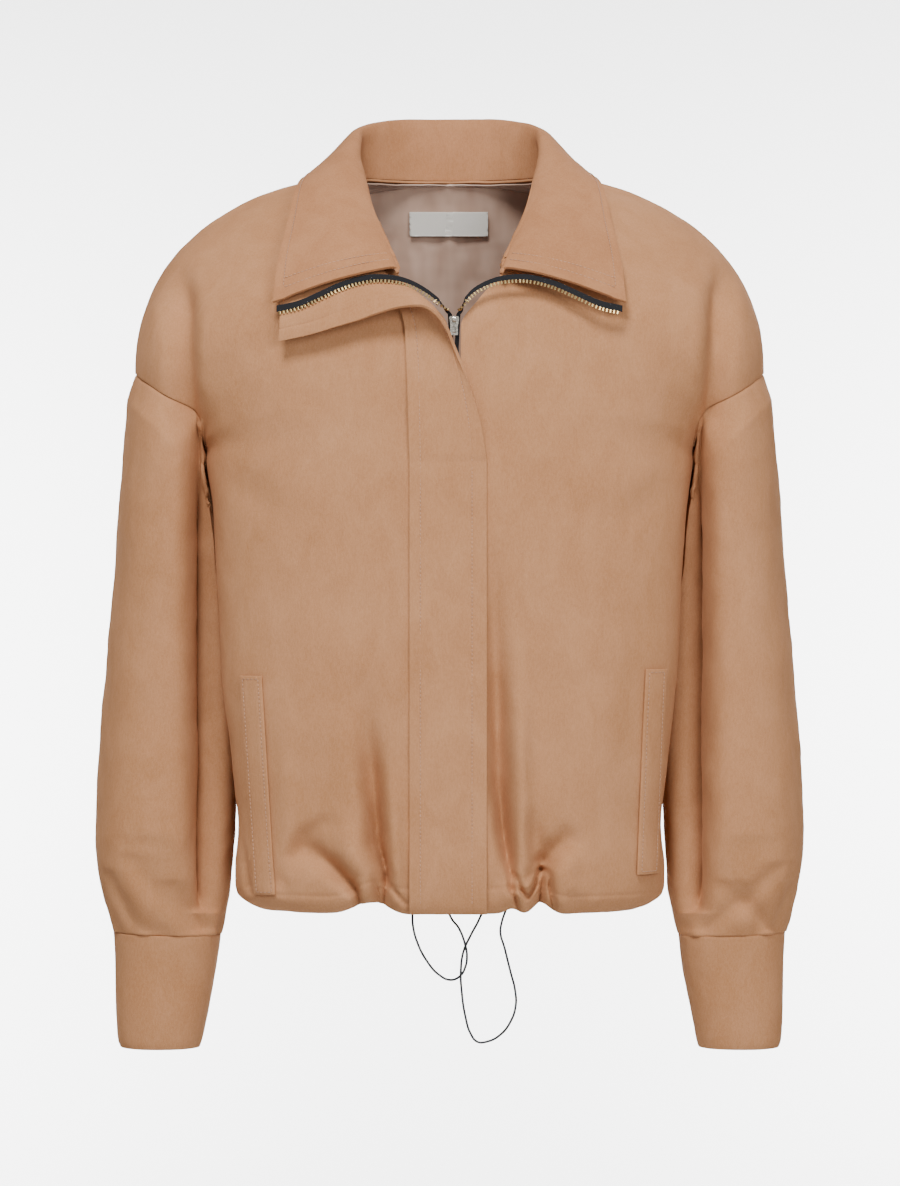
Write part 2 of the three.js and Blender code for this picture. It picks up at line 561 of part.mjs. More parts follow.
function sleevePoint(side, down, angle) {
  const at = down * SLEEVE_RINGS.length - 1;
  const top = armholePoint(side, angle);
  top.z -= SEAM_GAP * 2.5;
  top.x += 2.2 * softStep((-192 - top.z) / 12);
  let point = top;
  if (at >= 0) {
    point = ringPoint(readTable(SLEEVE_RINGS, at), angle);
  } else if (at > -1) {
    point = top.lerp(ringPoint(SLEEVE_RINGS[0], angle), at + 1);
  }
  const middleX = 215;
  const turn = angle * Math.PI / 180;
  const outward = new THREE.Vector3(Math.cos(turn) ** 3, -Math.sin(turn), 0).normalize();
  for (const crease of SLEEVE_CREASES) {
    const along = (down - crease.from) / (crease.to - crease.from);
    if (along > 0 && along < 1) {
      const off = (angle - crease.angle - crease.slope * along) / crease.halfAngle;
      const fade = Math.sin(Math.PI * along) ** 0.5;
      point.addScaledVector(outward, -crease.depth * fade * Math.exp(-off * off));
    }
  }
  if (point.x < middleX && down > 0.03) {
    const clear = BODY_CLEARANCE * softStep(down * 14);
    point.x = Math.max(point.x, torsoHalfWidth(point.y, point.z) + clear);
  }
  point.x *= side;
  return point;
}

function tube(rowCount, columnCount, side, pointAt) {
  const grid = gridOf(rowCount, columnCount, (down, round, row, column) => {
    const angle = (column % columnCount) * 360 / columnCount;
    return pointAt(down, angle);
  });
  return clothWall(grid, SUEDE_WALL, { turned: side < 0 });
}

function sleeve(side) {
  return tube(22, 20, side, (down, angle) => sleevePoint(side, down, angle));
}

function cuff(side) {
  return tube(4, 20, side, (down, angle) => {
    const point = ringPoint(readTable(CUFF_RINGS, down * (CUFF_RINGS.length - 1)), angle);
    point.z -= SEAM_GAP;
    point.x *= side;
    return point;
  });
}

// A collar section from the neck seam up the stand, over the roll and down the fall to the free edge.
function collarSection(row) {
  const seam = new THREE.Vector3(row.seamX, row.seamY, row.seamZ);
  const roll = new THREE.Vector3(row.rollX, row.rollY, row.rollZ);
  const edge = new THREE.Vector3(row.edgeX, row.edgeY, row.edgeZ);
  const stand = roll.distanceTo(seam);
  const outward = edge.clone().sub(roll).setZ(0).normalize();
  const round = Math.min(5, stand * 0.35);
  const chord = edge.clone().sub(roll);
  const lift = new THREE.Vector3(outward.x * 0.3, outward.y * 0.3 - 0.75 * softStep(-row.rollY / 60), 0);
  lift.z = Math.max(0.35, 1 - 2 * Math.abs(lift.y));
  lift.normalize();
  return new THREE.CatmullRomCurve3([
    seam,
    seam.clone().lerp(roll, 0.55).addScaledVector(outward, -round * 0.3),
    roll.clone().addScaledVector(outward, -round * 0.5).add(new THREE.Vector3(0, 0, -round)),
    roll,
    roll.clone().addScaledVector(chord, 0.14).addScaledVector(lift, row.crown * 0.6 + round * 0.35),
    roll.clone().addScaledVector(chord, 0.5).addScaledVector(lift, row.crown),
    edge,
  ], false, 'centripetal');
}

function collar() {
  const halfColumns = 17;
  const steps = 12;
  const grid = gridOf(steps, 2 * halfColumns, (rise, across, row, column) => {
    const offCentre = column - halfColumns;
    const at = Math.abs(offCentre) / halfColumns * (COLLAR_ROWS.length - 1);
    const point = collarSection(readTable(COLLAR_ROWS, at)).getPoint(rise);
    point.x *= Math.sign(offCentre) || 1;
    return point;
  });
  return clothWall(grid, DOUBLE_WALL);
}

function teethPoint(side, along) {
  const read = readTable(TEETH_LINE, along * (TEETH_LINE.length - 1));
  const x = side * read.x + ZIP_X * (1 - softStep(along * 4));
  return new THREE.Vector3(x, chestY(x, read.z) - read.lift, read.z);
}

// The fly placket: a strip up the chest that turns over beside the slider and lies along the wing.
function placket() {
  const chestRows = 16;
  const turnRows = 26;
  const columns = 5;
  const hemZ = -554;
  const topZ = PLACKET_TURN[0].seamZ;
  const lift = SEAM_GAP + 0.1 + DOUBLE_WALL;
  const grid = gridOf(chestRows + turnRows, columns, (up, across, row) => {
    const t = across * 2 - 1;
    if (row < chestRows) {
      const z = hemZ + (topZ - hemZ) * (row / chestRows) ** 1.5;
      const x = -1 + t * (PLACKET_HALF_WIDTH - 1);
      const overZip = Math.abs(x - ZIP_X) <= FRONT_EDGE_FROM_ZIP;
      const seenX = overZip ? ZIP_X - FRONT_EDGE_FROM_ZIP - 0.1 : x;
      const hemLift = 0.9 * softStep((-500 - z) / 30);
      return raisedPoint(FRONT_ROWS, FRONT_CREASES, seenX, z, lift + hemLift).setX(x);
    }
    const read = readTable(PLACKET_TURN, (row - chestRows) / turnRows * (PLACKET_TURN.length - 1));
    const lineAt = (x, z, height) => new THREE.Vector3(x, chestY(x, z) - height, z);
    const point = lineAt(read.seamX, read.seamZ, read.seamLift).multiplyScalar(t * (t - 1) / 2);
    point.addScaledVector(lineAt(read.sewX, read.sewZ, read.sewLift), 1 - t * t);
    return point.addScaledVector(lineAt(read.freeX, read.freeZ, read.freeLift), t * (t + 1) / 2);
  });
  return clothWall(grid, DOUBLE_WALL);
}

// One zip tape: behind the front's edge below the slider, then along the wing's front edge.
function zipTape(side) {
  const hiddenRows = 14;
  const shownRows = 22;
  const sink = SUEDE_WALL + SEAM_GAP + 0.3;
  const bottomZ = -551;
  const topZ = -124;
  const grid = gridOf(hiddenRows + shownRows, 1, (up, across, row) => {
    if (row <= hiddenRows) {
      const z = bottomZ + (topZ - bottomZ) * row / hiddenRows;
      const narrowed = TAPE_WIDTH + (TAPE_NARROW - TAPE_WIDTH) * softStep((z + 175) / 25);
      const x = ZIP_X + side * (SEAM_GAP + across * narrowed);
      const edge = raisedPoint(FRONT_ROWS, FRONT_CREASES, ZIP_X + side * (FRONT_EDGE_FROM_ZIP + 1), z, -sink);
      return edge.setX(x);
    }
    const along = (row - hiddenRows) / shownRows;
    const turned = softStep(along * 6);
    const away = new THREE.Vector3(side * (1 - turned), 0.8 * Math.sin(Math.PI * turned), turned).normalize();
    const width = TAPE_NARROW + (TAPE_SHOWING - TAPE_NARROW) * along;
    return teethPoint(side, along).addScaledVector(away, across * width);
  });
  return clothWall(grid, TAPE_WALL, { turned: side < 0 });
}

// A welt sewn over a pocket's mouth, following the front panel.
function pocketWelt(welt) {
  const grid = gridOf(10, 2, (down, across) => {
    const out = welt.topOut + (welt.bottomOut - welt.topOut) * down;
    const inner = welt.topIn + (welt.bottomIn - welt.topIn) * down;
    const x = welt.side * (inner + (out - inner) * across);
    const z = welt.topZ + (welt.bottomZ - welt.topZ) * down;
    return raisedPoint(FRONT_ROWS, FRONT_CREASES, x, z, SUEDE_WALL + SEAM_GAP + 0.9);
  });
  return clothWall(grid, SUEDE_WALL, { turned: welt.side > 0 });
}

// The bare woven label on the back lining, below the neck seam.
function label() {
  const topZ = -8;
  const sink = LINING_SINK + LINING_WALL + 2.6;
  const wall = 0.7;
  const grid = gridOf(3, 6, (down, across) => (
    raisedPoint(BACK_ROWS, BACK_CREASES, LABEL_WIDTH * (0.49 - across), topZ - LABEL_HEIGHT * down, -sink)
  ));
  return clothWall(grid, wall);
}

function roundCord(points) {
  const curve = new THREE.CatmullRomCurve3(points.map((point) => new THREE.Vector3(...point)));
  const section = new THREE.Shape(Array.from({ length: 8 }, (unused, corner) => {
    const angle = corner * Math.PI / 4;
    return new THREE.Vector2(Math.cos(angle), Math.sin(angle)).multiplyScalar(CORD_DIAMETER / 2);
  }));
  return new THREE.ExtrudeGeometry(section, { steps: Math.round(points.length * 1.6), extrudePath: curve });
}

// Two closed shapes joined into one solid.
function joined(first, second) {
  const solids = [first, second].map((geometry) => {
    const bare = geometry.clone();
    bare.deleteAttribute('normal');
    bare.deleteAttribute('uv');
    const merged = mergeVertices(bare, 1e-4);
    return new wasm.Manifold(new wasm.Mesh({
      numProp: 3,
      vertProperties: merged.attributes.position.array,
      triVerts: merged.index.array,
    }));
  });
  const mesh = solids[0].add(solids[1]).getMesh();
  const geometry = new THREE.BufferGeometry();
  geometry.setAttribute('position', new THREE.BufferAttribute(mesh.vertProperties, 3));
  geometry.setIndex(new THREE.BufferAttribute(mesh.triVerts, 1));
  return geometry;
}

// The slider: a wedge that narrows downward over the chain, with the arched arm that holds the tab.
function zipSlider() {
  const half = SLIDER.width / 2;
  const tall = SLIDER.topZ - SLIDER.bottomZ;
  const face = new THREE.Shape();
  face.moveTo(-half * 0.7, 0);
  face.lineTo(half * 0.7, 0);
  face.lineTo(half * 0.75, tall * 0.35);
  face.lineTo(half, tall * 0.75);
  face.absarc(half * 0.62, tall - half * 0.38, half * 0.38, 0, Math.PI / 2);
  face.lineTo(0, tall * 0.93);
  face.absarc(-half * 0.62, tall - half * 0.38, half * 0.38, Math.PI / 2, Math.PI);
  face.lineTo(-half * 0.75, tall * 0.35);
  const flat = { depth: SLIDER.thick, bevelEnabled: false, curveSegments: 5 };
  const body = new THREE.ExtrudeGeometry(face, flat);
  body.rotateX(Math.PI / 2);
  body.translate(ZIP_X, SLIDER.faceY + SLIDER.thick, SLIDER.bottomZ);
  const outer = HINGE.holeRadius + HINGE.armThick;
  const reach = SLIDER.faceY + 0.5 - HINGE.y;
  const arch = new THREE.Shape();
  arch.moveTo(reach, -outer);
  arch.lineTo(0, -outer);
  arch.absarc(0, 0, outer, -Math.PI / 2, -3 * Math.PI / 2, true);
  arch.lineTo(reach, outer);
  arch.lineTo(reach, HINGE.holeRadius);
  arch.lineTo(0, HINGE.holeRadius);
  arch.absarc(0, 0, HINGE.holeRadius, Math.PI / 2, 3 * Math.PI / 2, false);
  arch.lineTo(reach, -HINGE.holeRadius);
  const bent = { depth: HINGE.armWide, bevelEnabled: false, curveSegments: 10 };
  const arm = new THREE.ExtrudeGeometry(arch, bent);
  arm.applyMatrix4(new THREE.Matrix4().makeBasis(
    new THREE.Vector3(0, 1, 0),
    new THREE.Vector3(0, 0, 1),
    new THREE.Vector3(1, 0, 0),
  ));
  arm.translate(ZIP_X - HINGE.armWide / 2, HINGE.y, HINGE.z);
  return joined(body, arm);
}

function roundedOutline(path, width, low, high, radius) {
  const half = width / 2;
  path.moveTo(-half + radius, low);
  path.lineTo(half - radius, low);
  path.absarc(half - radius, low + radius, radius, -Math.PI / 2, 0);
  path.lineTo(half, high - radius);
  path.absarc(half - radius, high - radius, radius, 0, Math.PI / 2);
  path.lineTo(-half + radius, high);
  path.absarc(-half + radius, high - radius, radius, Math.PI / 2, Math.PI);
  path.lineTo(-half, low + radius);
  path.absarc(-half + radius, low + radius, radius, Math.PI, 3 * Math.PI / 2);
  return path;
}

// The pull tab hangs on the arm by its top bar, with a window for the arm and a slot below.
function pullTab() {
  const top = PULL_TAB.barHigh / 2;
  const windowTop = -PULL_TAB.barHigh / 2;
  const windowBottom = windowTop - PULL_TAB.windowHigh;
  const bottom = top - PULL_TAB.long;
  const plate = roundedOutline(new THREE.Shape(), PULL_TAB.width, bottom, top, 0.6);
  plate.holes.push(
    roundedOutline(new THREE.Path(), PULL_TAB.windowWide, windowBottom, windowTop, 0.5),
    roundedOutline(new THREE.Path(), PULL_TAB.windowWide * 0.75, bottom + 1.6, windowBottom - 1.4, 0.8),
  );
  const flat = { depth: PULL_TAB.thick, bevelEnabled: false, curveSegments: 4 };
  const tab = new THREE.ExtrudeGeometry(plate, flat);
  tab.rotateX(Math.PI / 2);
  tab.translate(ZIP_X, HINGE.y + PULL_TAB.thick / 2, HINGE.z);
  return tab;
}

const wasm = await Module();
wasm.setup();

for (const [word, side] of [['right', -1], ['left', 1]]) {
  place(`front_${word}`, frontPanel(side), SUEDE);
  place(`sleeve_${word}`, sleeve(side), SUEDE);
  place(`cuff_${word}`, cuff(side), SUEDE);
  place(`zip_tape_${word}`, zipTape(side), BLACK_TAPE);
}
place('back', backSheet(0, LAST_BODY_ROW, 1, 0, SUEDE_WALL, 25, 12, 0), SUEDE);
place('lining_back', backSheet(1.2, 8.4, 0.62, LINING_SINK, LINING_WALL, 11, 7, 1.6), SATIN);
place('label', label(), WOVEN_WHITE);
place('collar', collar(), SUEDE);
place('placket', placket(), SUEDE);
POCKET_WELTS.forEach((welt) => place(welt.name, pocketWelt(welt), SUEDE));
place('zip_slider', zipSlider(), SILVER);
place('pull_tab', pullTab(), SILVER);
place('drawcord_a', roundCord(DRAWCORD_A), BLACK_TAPE);
place('drawcord_b', roundCord(DRAWCORD_B), BLACK_TAPE);

export default garment;
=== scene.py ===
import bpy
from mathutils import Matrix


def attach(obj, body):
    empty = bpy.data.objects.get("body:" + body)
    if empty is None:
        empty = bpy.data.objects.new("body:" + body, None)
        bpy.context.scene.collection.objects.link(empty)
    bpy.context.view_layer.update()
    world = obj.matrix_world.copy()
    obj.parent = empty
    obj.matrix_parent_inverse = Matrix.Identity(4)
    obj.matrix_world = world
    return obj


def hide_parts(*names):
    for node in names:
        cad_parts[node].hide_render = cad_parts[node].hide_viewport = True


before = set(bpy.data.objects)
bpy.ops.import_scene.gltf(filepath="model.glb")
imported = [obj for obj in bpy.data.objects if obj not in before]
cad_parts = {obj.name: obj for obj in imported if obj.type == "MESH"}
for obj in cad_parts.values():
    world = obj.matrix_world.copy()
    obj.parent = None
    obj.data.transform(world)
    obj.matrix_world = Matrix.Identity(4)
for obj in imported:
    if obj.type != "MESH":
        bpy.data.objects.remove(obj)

import logging
import math
from dataclasses import dataclass, field
from enum import Enum
from functools import lru_cache
from typing import Callable, NamedTuple, Sequence

import bmesh
import bpy
from mathutils import Matrix, Vector, noise

logging.basicConfig(level=logging.INFO, format="%(message)s")
log = logging.getLogger("jacket")

# Sizes below are millimetres on the CAD part's frame; MM turns them into Blender's metres.
MM = 0.001
SUEDE_WALL = 1.6
DOUBLE_WALL = 2.2
LINING_WALL = 0.9
LINING_SINK = 3.8
SEAM_GAP = 0.3
# A sewn seam shows as a fine line, closer than the CAD solids' clearance.
SEAM_SHOWING = 0.1
ZIP_X = 3.5
FRONT_EDGE_FROM_ZIP = 5.0
PLACKET_HALF_WIDTH = 30.0
TAPE_WIDTH = 13.0
TAPE_WALL = 0.9
TAPE_NARROW = 3.2
TAPE_SHOWING = 5.0
CORD_DIAMETER = 1.8
HALF_CHEST_X = 300.0
HALF_CHEST_Y = 120.0
SHOULDER_FALL = 22.0
LABEL_WIDTH = 63.0
LABEL_HEIGHT = 19.0
CUFF_BOTTOM_Z = -667.0
HEM_Z = -555.0
NECK_ROW = 4
UNDERARM_ROW = 9
SLEEVE_SQUARE = 2.3
SLEEVE_MIDDLE_X = 215.0
BODY_CLEARANCE = 3.5


class Side(Enum):
    """The wearer's own right and left, with the sign of X that each lies on."""

    RIGHT = -1
    LEFT = 1

    @property
    def word(self) -> str:
        """Returns: the side's name as the CAD nodes spell it."""
        return self.name.lower()


class BodyRow(NamedTuple):
    """A row of cloth across one half of the body."""

    inner_x: float
    inner_y: float
    inner_z: float
    outer_x: float
    outer_y: float
    outer_z: float
    square: float
    dent: float


class Ring(NamedTuple):
    """A ring round a sleeve or cuff."""

    outer_x: float
    outer_z: float
    inner_x: float
    inner_z: float
    mid: float
    deep: float


class Crease(NamedTuple):
    """A soft trough (or ridge, when depth is negative) between two points of a panel."""

    top_x: float
    top_z: float
    bottom_x: float
    bottom_z: float
    half: float
    depth: float


class Fold:
    """A fine fold along a line of points, each with its own half-width and depth."""

    def __init__(self, *points: tuple[float, float, float, float]) -> None:
        """Keeps the line and the box that it acts in.

        Args:
            points: x, z, half-width and depth of each point.
        """
        self.points = points
        reach = 2.6 * max(point[2] for point in points)
        self.low_x = min(point[0] for point in points) - reach
        self.high_x = max(point[0] for point in points) + reach
        self.low_z = min(point[1] for point in points) - reach
        self.high_z = max(point[1] for point in points) + reach

    def depth(self, x: float, z: float) -> float:
        """How far it sinks the cloth.

        Args:
            x: across.
            z: height.
        Returns: the depth.
        """
        if not (self.low_x < x < self.high_x and self.low_z < z < self.high_z):
            return 0.0
        best = 0.0
        for start, stop in zip(self.points, self.points[1:]):
            run_x, run_z = stop[0] - start[0], stop[1] - start[1]
            along = ((x - start[0]) * run_x + (z - start[1]) * run_z) / (run_x ** 2 + run_z ** 2)
            along = min(max(along, 0.0), 1.0)
            half = start[2] + (stop[2] - start[2]) * along
            off = math.hypot(x - start[0] - along * run_x, z - start[1] - along * run_z)
            sunk = (start[3] + (stop[3] - start[3]) * along) * bell(off, half)
            if abs(sunk) > abs(best):
                best = sunk
        return best


class SleeveCrease(NamedTuple):
    """A soft trough that runs down a sleeve; angle 0 is its outer side and 90 its front."""

    angle: float
    slope: float
    start: float
    stop: float
    half_angle: float
    depth: float


class CollarRow(NamedTuple):
    """A section of the collar from its neck seam over the roll to its free edge."""

    seam_x: float
    seam_y: float
    seam_z: float
    roll_x: float
    roll_y: float
    roll_z: float
    edge_x: float
    edge_y: float
    edge_z: float
    crown: float


class TeethRow(NamedTuple):
    """A point of the open zip's line of teeth; lift is the height off the chest."""

    x: float
    z: float
    lift: float


class TurnRow(NamedTuple):
    """A section of the placket where it turns over beside the slider."""

    seam_x: float
    seam_z: float
    seam_lift: float
    sew_x: float
    sew_z: float
    sew_lift: float
    free_x: float
    free_z: float
    free_lift: float


# Columns are the fields of BodyRow: each row runs from the centre front or neckline to the armhole or
# side seam, from the shoulder seam down to the turned hem.
FRONT_ROWS = [BodyRow(*row) for row in (
    (82, 3, 12, 245, 0, -143, 2.3, 0),
    (76, -26, -2, 243, -22, -145, 2.3, 0),
    (66, -56, -25, 237, -43, -150, 2.35, 0),
    (53, -82, -49, 227, -61, -157, 2.4, 0),
    (40, -104, -72, 214, -72, -166, 2.45, 0),
    (20, -113, -93, 201, -75, -175, 2.55, 0),
    (5, -117, -114, 193, -69, -184, 2.6, 0.5),
    (5, -120, -142, 189, -54, -195, 2.7, 0.5),
    (5, -122, -172, 187, -29, -206, 2.75, 4),
    (5, -123, -202, 187, 0, -213, 2.8, 6),
    (5, -124, -245, 174, 0, -246, 2.8, 20),
    (5, -124, -318, 168, 0, -318, 2.8, 22),
    (5, -124, -382, 163, 0, -382, 2.8, 24),
    (5, -124, -440, 158, 0, -440, 2.8, 21),
    (5, -124, -490, 156, 0, -490, 2.8, 16),
    (5, -124, -520, 159, 0, -520, 2.8, 15),
    (5, -122, -542, 160, 0, -541, 2.8, 13),
    (5, -118, -553, 153, 0, -551, 2.8, 10),
    (5, -112, -557, 143, 0, -556, 2.8, 6),
    (5, -105, -555, 134, 0, -554, 2.8, 3),
)]
BACK_ROWS = [BodyRow(*row) for row in (
    (82, 3, 12, 245, 0, -143, 2.3, 0),
    (73, 33, 12.6, 243, 24, -145, 2.3, 0),
    (57, 56, 13.2, 237, 47, -150, 2.3, 0),
    (31, 72, 13.8, 227, 67, -157, 2.3, 0),
    (0, 78, 14, 214, 80, -166, 2.35, 0),
    (0, 93, -24, 201, 83, -175, 2.4, 0),
    (0, 103, -70, 193, 78, -184, 2.45, 0.5),
    (0, 109, -118, 189, 60, -195, 2.5, 0.5),
    (0, 112, -160, 187, 32, -206, 2.55, 3),
    (0, 113, -200, 187, 0, -213, 2.6, 4),
    (0, 113, -245, 174, 0, -246, 2.6, 10),
    (0, 112, -318, 168, 0, -318, 2.6, 13),
    (0, 113, -382, 163, 0, -382, 2.6, 14),
    (0, 116, -440, 158, 0, -440, 2.6, 13),
    (0, 119, -490, 156, 0, -490, 2.6, 13),
    (0, 120, -520, 159, 0, -520, 2.6, 12),
    (0, 118, -542, 160, 0, -541, 2.6, 11),
    (0, 114, -553, 153, 0, -551, 2.6, 8),
    (0, 108, -557, 143, 0, -556, 2.6, 5),
    (0, 101, -555, 134, 0, -554, 2.6, 3),
)]
# Rings from the armhole to the cuff seam, wearer's left, then the cuff.
SLEEVE_RINGS = [Ring(*row) for row in (
    (251, -164, 172, -236, 4, 80),
    (254, -195, 171, -258, 6, 81),
    (258, -235, 170, -285, 9, 81),
    (262, -288, 169, -318, 12, 80),
    (267, -340, 168, -355, 14, 78),
    (271, -392, 167, -398, 14, 77),
    (275, -444, 166, -444, 12, 76),
    (276.5, -488, 167, -486, 9, 74),
    (275.5, -518, 169, -518, 6, 70),
    (272, -542, 171, -546, 3, 62),
    (267, -561, 174.5, -565, 1, 52),
    (262, -577.4, 178, -579.4, 0, 43.5),
)]
CUFF_RINGS = [Ring(*row) for row in (
    (261.7, -577.45, 178.1, -579.45, 0, 43.2),
    (260.4, -608, 182, -608, 0, 40),
    (259.8, -640, 188, -640, -1, 38),
    (258.6, -660, 192, -660, -1, 36.5),
    (256.5, CUFF_BOTTOM_Z, 194, CUFF_BOTTOM_Z, -1, 35),
)]
# Collar sections from the centre back to the front end, wearer's left.
COLLAR_ROWS = [CollarRow(*row) for row in (
    (0, 78, 14.5, 0, 87, 64.5, 0, 112, 15, 5),
    (31, 72, 14.4, 33, 80, 64, 42, 108, 14, 5),
    (57, 56, 14, 59, 62, 59, 83, 84, 12, 5),
    (73, 33, 13.6, 71, 38, 50, 103, 46, 14, 5),
    (82, 3, 13.2, 72, 9, 34, 112, 6, 11.5, 5),
    (76.4, -26.6, -0.6, 66, -28, 7, 118.5, -36, -0.5, 6),
    (66, -57.2, -23.6, 58, -64, -24, 124, -73, -32, 7),
    (52.6, -84, -47.6, 48, -93, -48, 130, -103, -64, 8),
    (39, -107, -70, 40, -118, -69, 133, -122, -95, 7),
)]
TEETH_LINE = [TeethRow(*row) for row in (
    (1.6, -104.5, -1.1),
    (8, -98, 6),
    (16, -90, 10),
    (27, -83.5, 13),
    (40, -79.5, 15),
    (54, -78.5, 16),
    (68, -80.5, 16),
    (82, -85, 16),
    (98, -92.5, 15),
    (114, -99.5, 14),
    (130, -103, 13),
)]
PLACKET_TURN = [TurnRow(*row) for row in (
    (-30, -215, 2.8, -1, -215, 2.8, 28, -215, 3),
    (-31, -180, 2.8, -2, -180, 2.9, 23, -184, 4),
    (-32, -150, 2.9, -4, -150, 3.8, 14, -156, 7),
    (-33, -128, 3, -7, -128, 5.5, 4, -133, 12),
    (-34, -113, 3.2, -11, -112, 8, -3, -117, 19),
    (-38, -98, 3.6, -17, -99, 10, -12, -105, 23),
    (-44, -84, 4, -28, -88, 11, -23, -100, 23),
    (-50, -74, 4, -41, -84, 11.4, -37, -101, 20),
    (-60, -67, 4, -55, -82, 11.4, -53, -105, 16),
    (-74, -67, 4, -69, -84, 11.4, -68, -110, 14),
    (-90, -71, 4, -86, -90, 11, -86, -115, 13),
    (-107, -77, 4, -103, -97, 10.2, -104, -120, 12),
    (-127, -83, 4, -127, -103, 9, -128, -125, 11),
)]
TABLES = {
    "front": FRONT_ROWS,
    "back": BACK_ROWS,
    "sleeve": SLEEVE_RINGS,
    "cuff": CUFF_RINGS,
    "collar": COLLAR_ROWS,
    "teeth": TEETH_LINE,
    "turn": PLACKET_TURN,
}
PLACKET_HEM_Z = -554.0
CASING_Z = -543.0
ALLOWANCE_ROWS = 3
# Creases of the CAD part, then the finer ones that only the looks have.
FRONT_CREASES = [Crease(*row) for row in (
    (-207, -56, -203, -180, 10.5, 17),
    (211, -54, 204, -180, 10.5, 16),
    (-64, -400, -50, -552, 9, 9),
    (-45, -440, -38, -548, 8, -3),
    (-80, -470, -70, -548, 12, -4),
    (-92, -490, -126, -532, 10, 4),
    (50, -360, 49, -545, 8, -3),
    (42, -290, 42, -530, 6, 2.5),
    (62, -470, 71, -553, 9, 9),
    (86, -500, 84, -548, 11, -4),
)]
BACK_CREASES = [Crease(*row) for row in (
    (-204, -66, -199, -152, 13, 5),
    (205, -68, 193, -172, 12, 7),
    (-95, -400, -84, -552, 13, 6),
    (-40, -450, -34, -552, 13, 5),
    (22, -420, 18, -552, 12, 6),
    (74, -460, 70, -552, 13, 5),
    (120, -430, 112, -552, 12, 5),
)]
SLEEVE_CREASES = [SleeveCrease(*row) for row in (
    (121, 12, 0, 0.9, 17, 42),
    (80, 60, 0.7, 0.98, 20, 5),
    (240, 14, 0.05, 0.85, 18, 6),
    (300, -30, 0.62, 0.98, 18, 4),
)]
CREASES = {"front": FRONT_CREASES, "back": BACK_CREASES}
# Fine folds, each a line of points (x, z, half-width, depth) seen from the front or the back.
FRONT_FOLDS = tuple(Fold(*points) for points in (
    # The gather on the wearer's right: a long soft valley that ends in a sharp pinch at the casing.
    ((-67, -370, 13, 0), (-64, -405, 11, 4), (-61, -440, 9, 8), (-58.3, -470, 7, 12),
     (-55.5, -505, 5, 15), (-51.5, -521, 3.8, 16), (-48.5, -534, 2.8, 14), (-47.5, -541, 2.2, 8)),
    ((-124, -503, 10, 0), (-106, -511, 9, 8), (-88, -521, 7, 14), (-76, -536, 4.6, 15),
     (-70, -547, 3, 13), (-68.5, -556, 2.4, 10)),
    ((-80, -486, 6, 0), (-97, -489, 6, 3.5), (-110, -498, 7, 5), (-119, -513, 7, 4), (-122, -528, 7, 0)),
    ((-78, -490, 12, 0), (-70, -512, 10, -4), (-61, -533, 6, -6), (-60, -552, 5, -4)),
    ((-46, -430, 8, 0), (-43, -480, 7, -3), (-40, -522, 5, -4), (-39, -538, 4, -1)),
    ((-56.5, -539, 1.8, 0), (-55, -546, 1.9, 6), (-54.5, -558, 1.8, 6)),
    ((-50, -536, 1.9, 3), (-49.5, -546, 2, 7), (-50.5, -558, 2, 6)),
    ((-46, -536, 2, 0), (-41, -542, 2.6, 3.5), (-34, -548, 3, 3), (-27, -551, 3, 0)),
    # The pocket's lower corner on that side gapes a little.
    ((-158, -500, 2.6, 0), (-156.5, -520, 3.4, 4), (-153.5, -538, 3, 5), (-150, -548, 2, 0)),
    ((-128, -390, 10, 0), (-124, -450, 9, -2), (-122, -520, 8, -1.5), (-122, -545, 6, 0)),
    # The other gather: the front sinks beside the placket and stands up again in a ridge.
    ((33, -270, 6, 0), (34, -340, 6.5, 7), (36, -400, 7, 14), (38, -460, 7.2, 20), (42, -495, 6, 22),
     (45, -515, 4.6, 20), (47.3, -532, 3.2, 14), (48.5, -541, 2.2, 7)),
    ((54, -350, 8, 0), (55, -430, 7, -4), (56, -495, 6, -5), (59, -520, 5, -3), (60, -530, 4, 0)),
    ((98, -496, 10, 0), (88, -501, 10, 7), (79, -510, 8.5, 12), (73, -520, 6, 14), (71.3, -529, 4, 9)),
    ((50.5, -530, 2, 4), (54, -540, 2, 8), (60, -545.5, 2, 8), (66, -541.5, 2, 8), (70, -531, 2.2, 9)),
    ((60, -530, 4, 0), (60, -537, 3.4, -4), (60, -541, 2.6, -2)),
    ((43, -533, 1.9, 1), (46, -541, 1.9, 8), (49.5, -548, 2, 8), (53, -558, 2, 6)),
    ((72.5, -530, 1.9, 6), (71.5, -540, 1.7, 9), (69.5, -558, 1.8, 9)),
    ((76, -529, 1.9, 4), (77, -541, 1.9, 9), (80, -558, 2, 6)),
    ((84, -520, 6, 0), (92, -535, 6, -3), (104, -545, 6, 0)),
    # Soft drape from the armholes and over the chest.
    ((-183, -222, 12, 0), (-150, -238, 14, 3.0), (-112, -268, 14, 0)),
    ((181, -226, 12, 0), (150, -246, 14, 2.8), (110, -272, 14, 0)),
    ((150, -300, 16, 0), (138, -420, 15, 2.4), (128, -520, 12, 0)),
    ((218, -52, 5, 0), (224, -80, 5, -2.2), (229, -112, 5, 0)),
    ((-224, -74, 6, 0), (-226, -100, 6, -1.6), (-226, -128, 5, 0)),
))
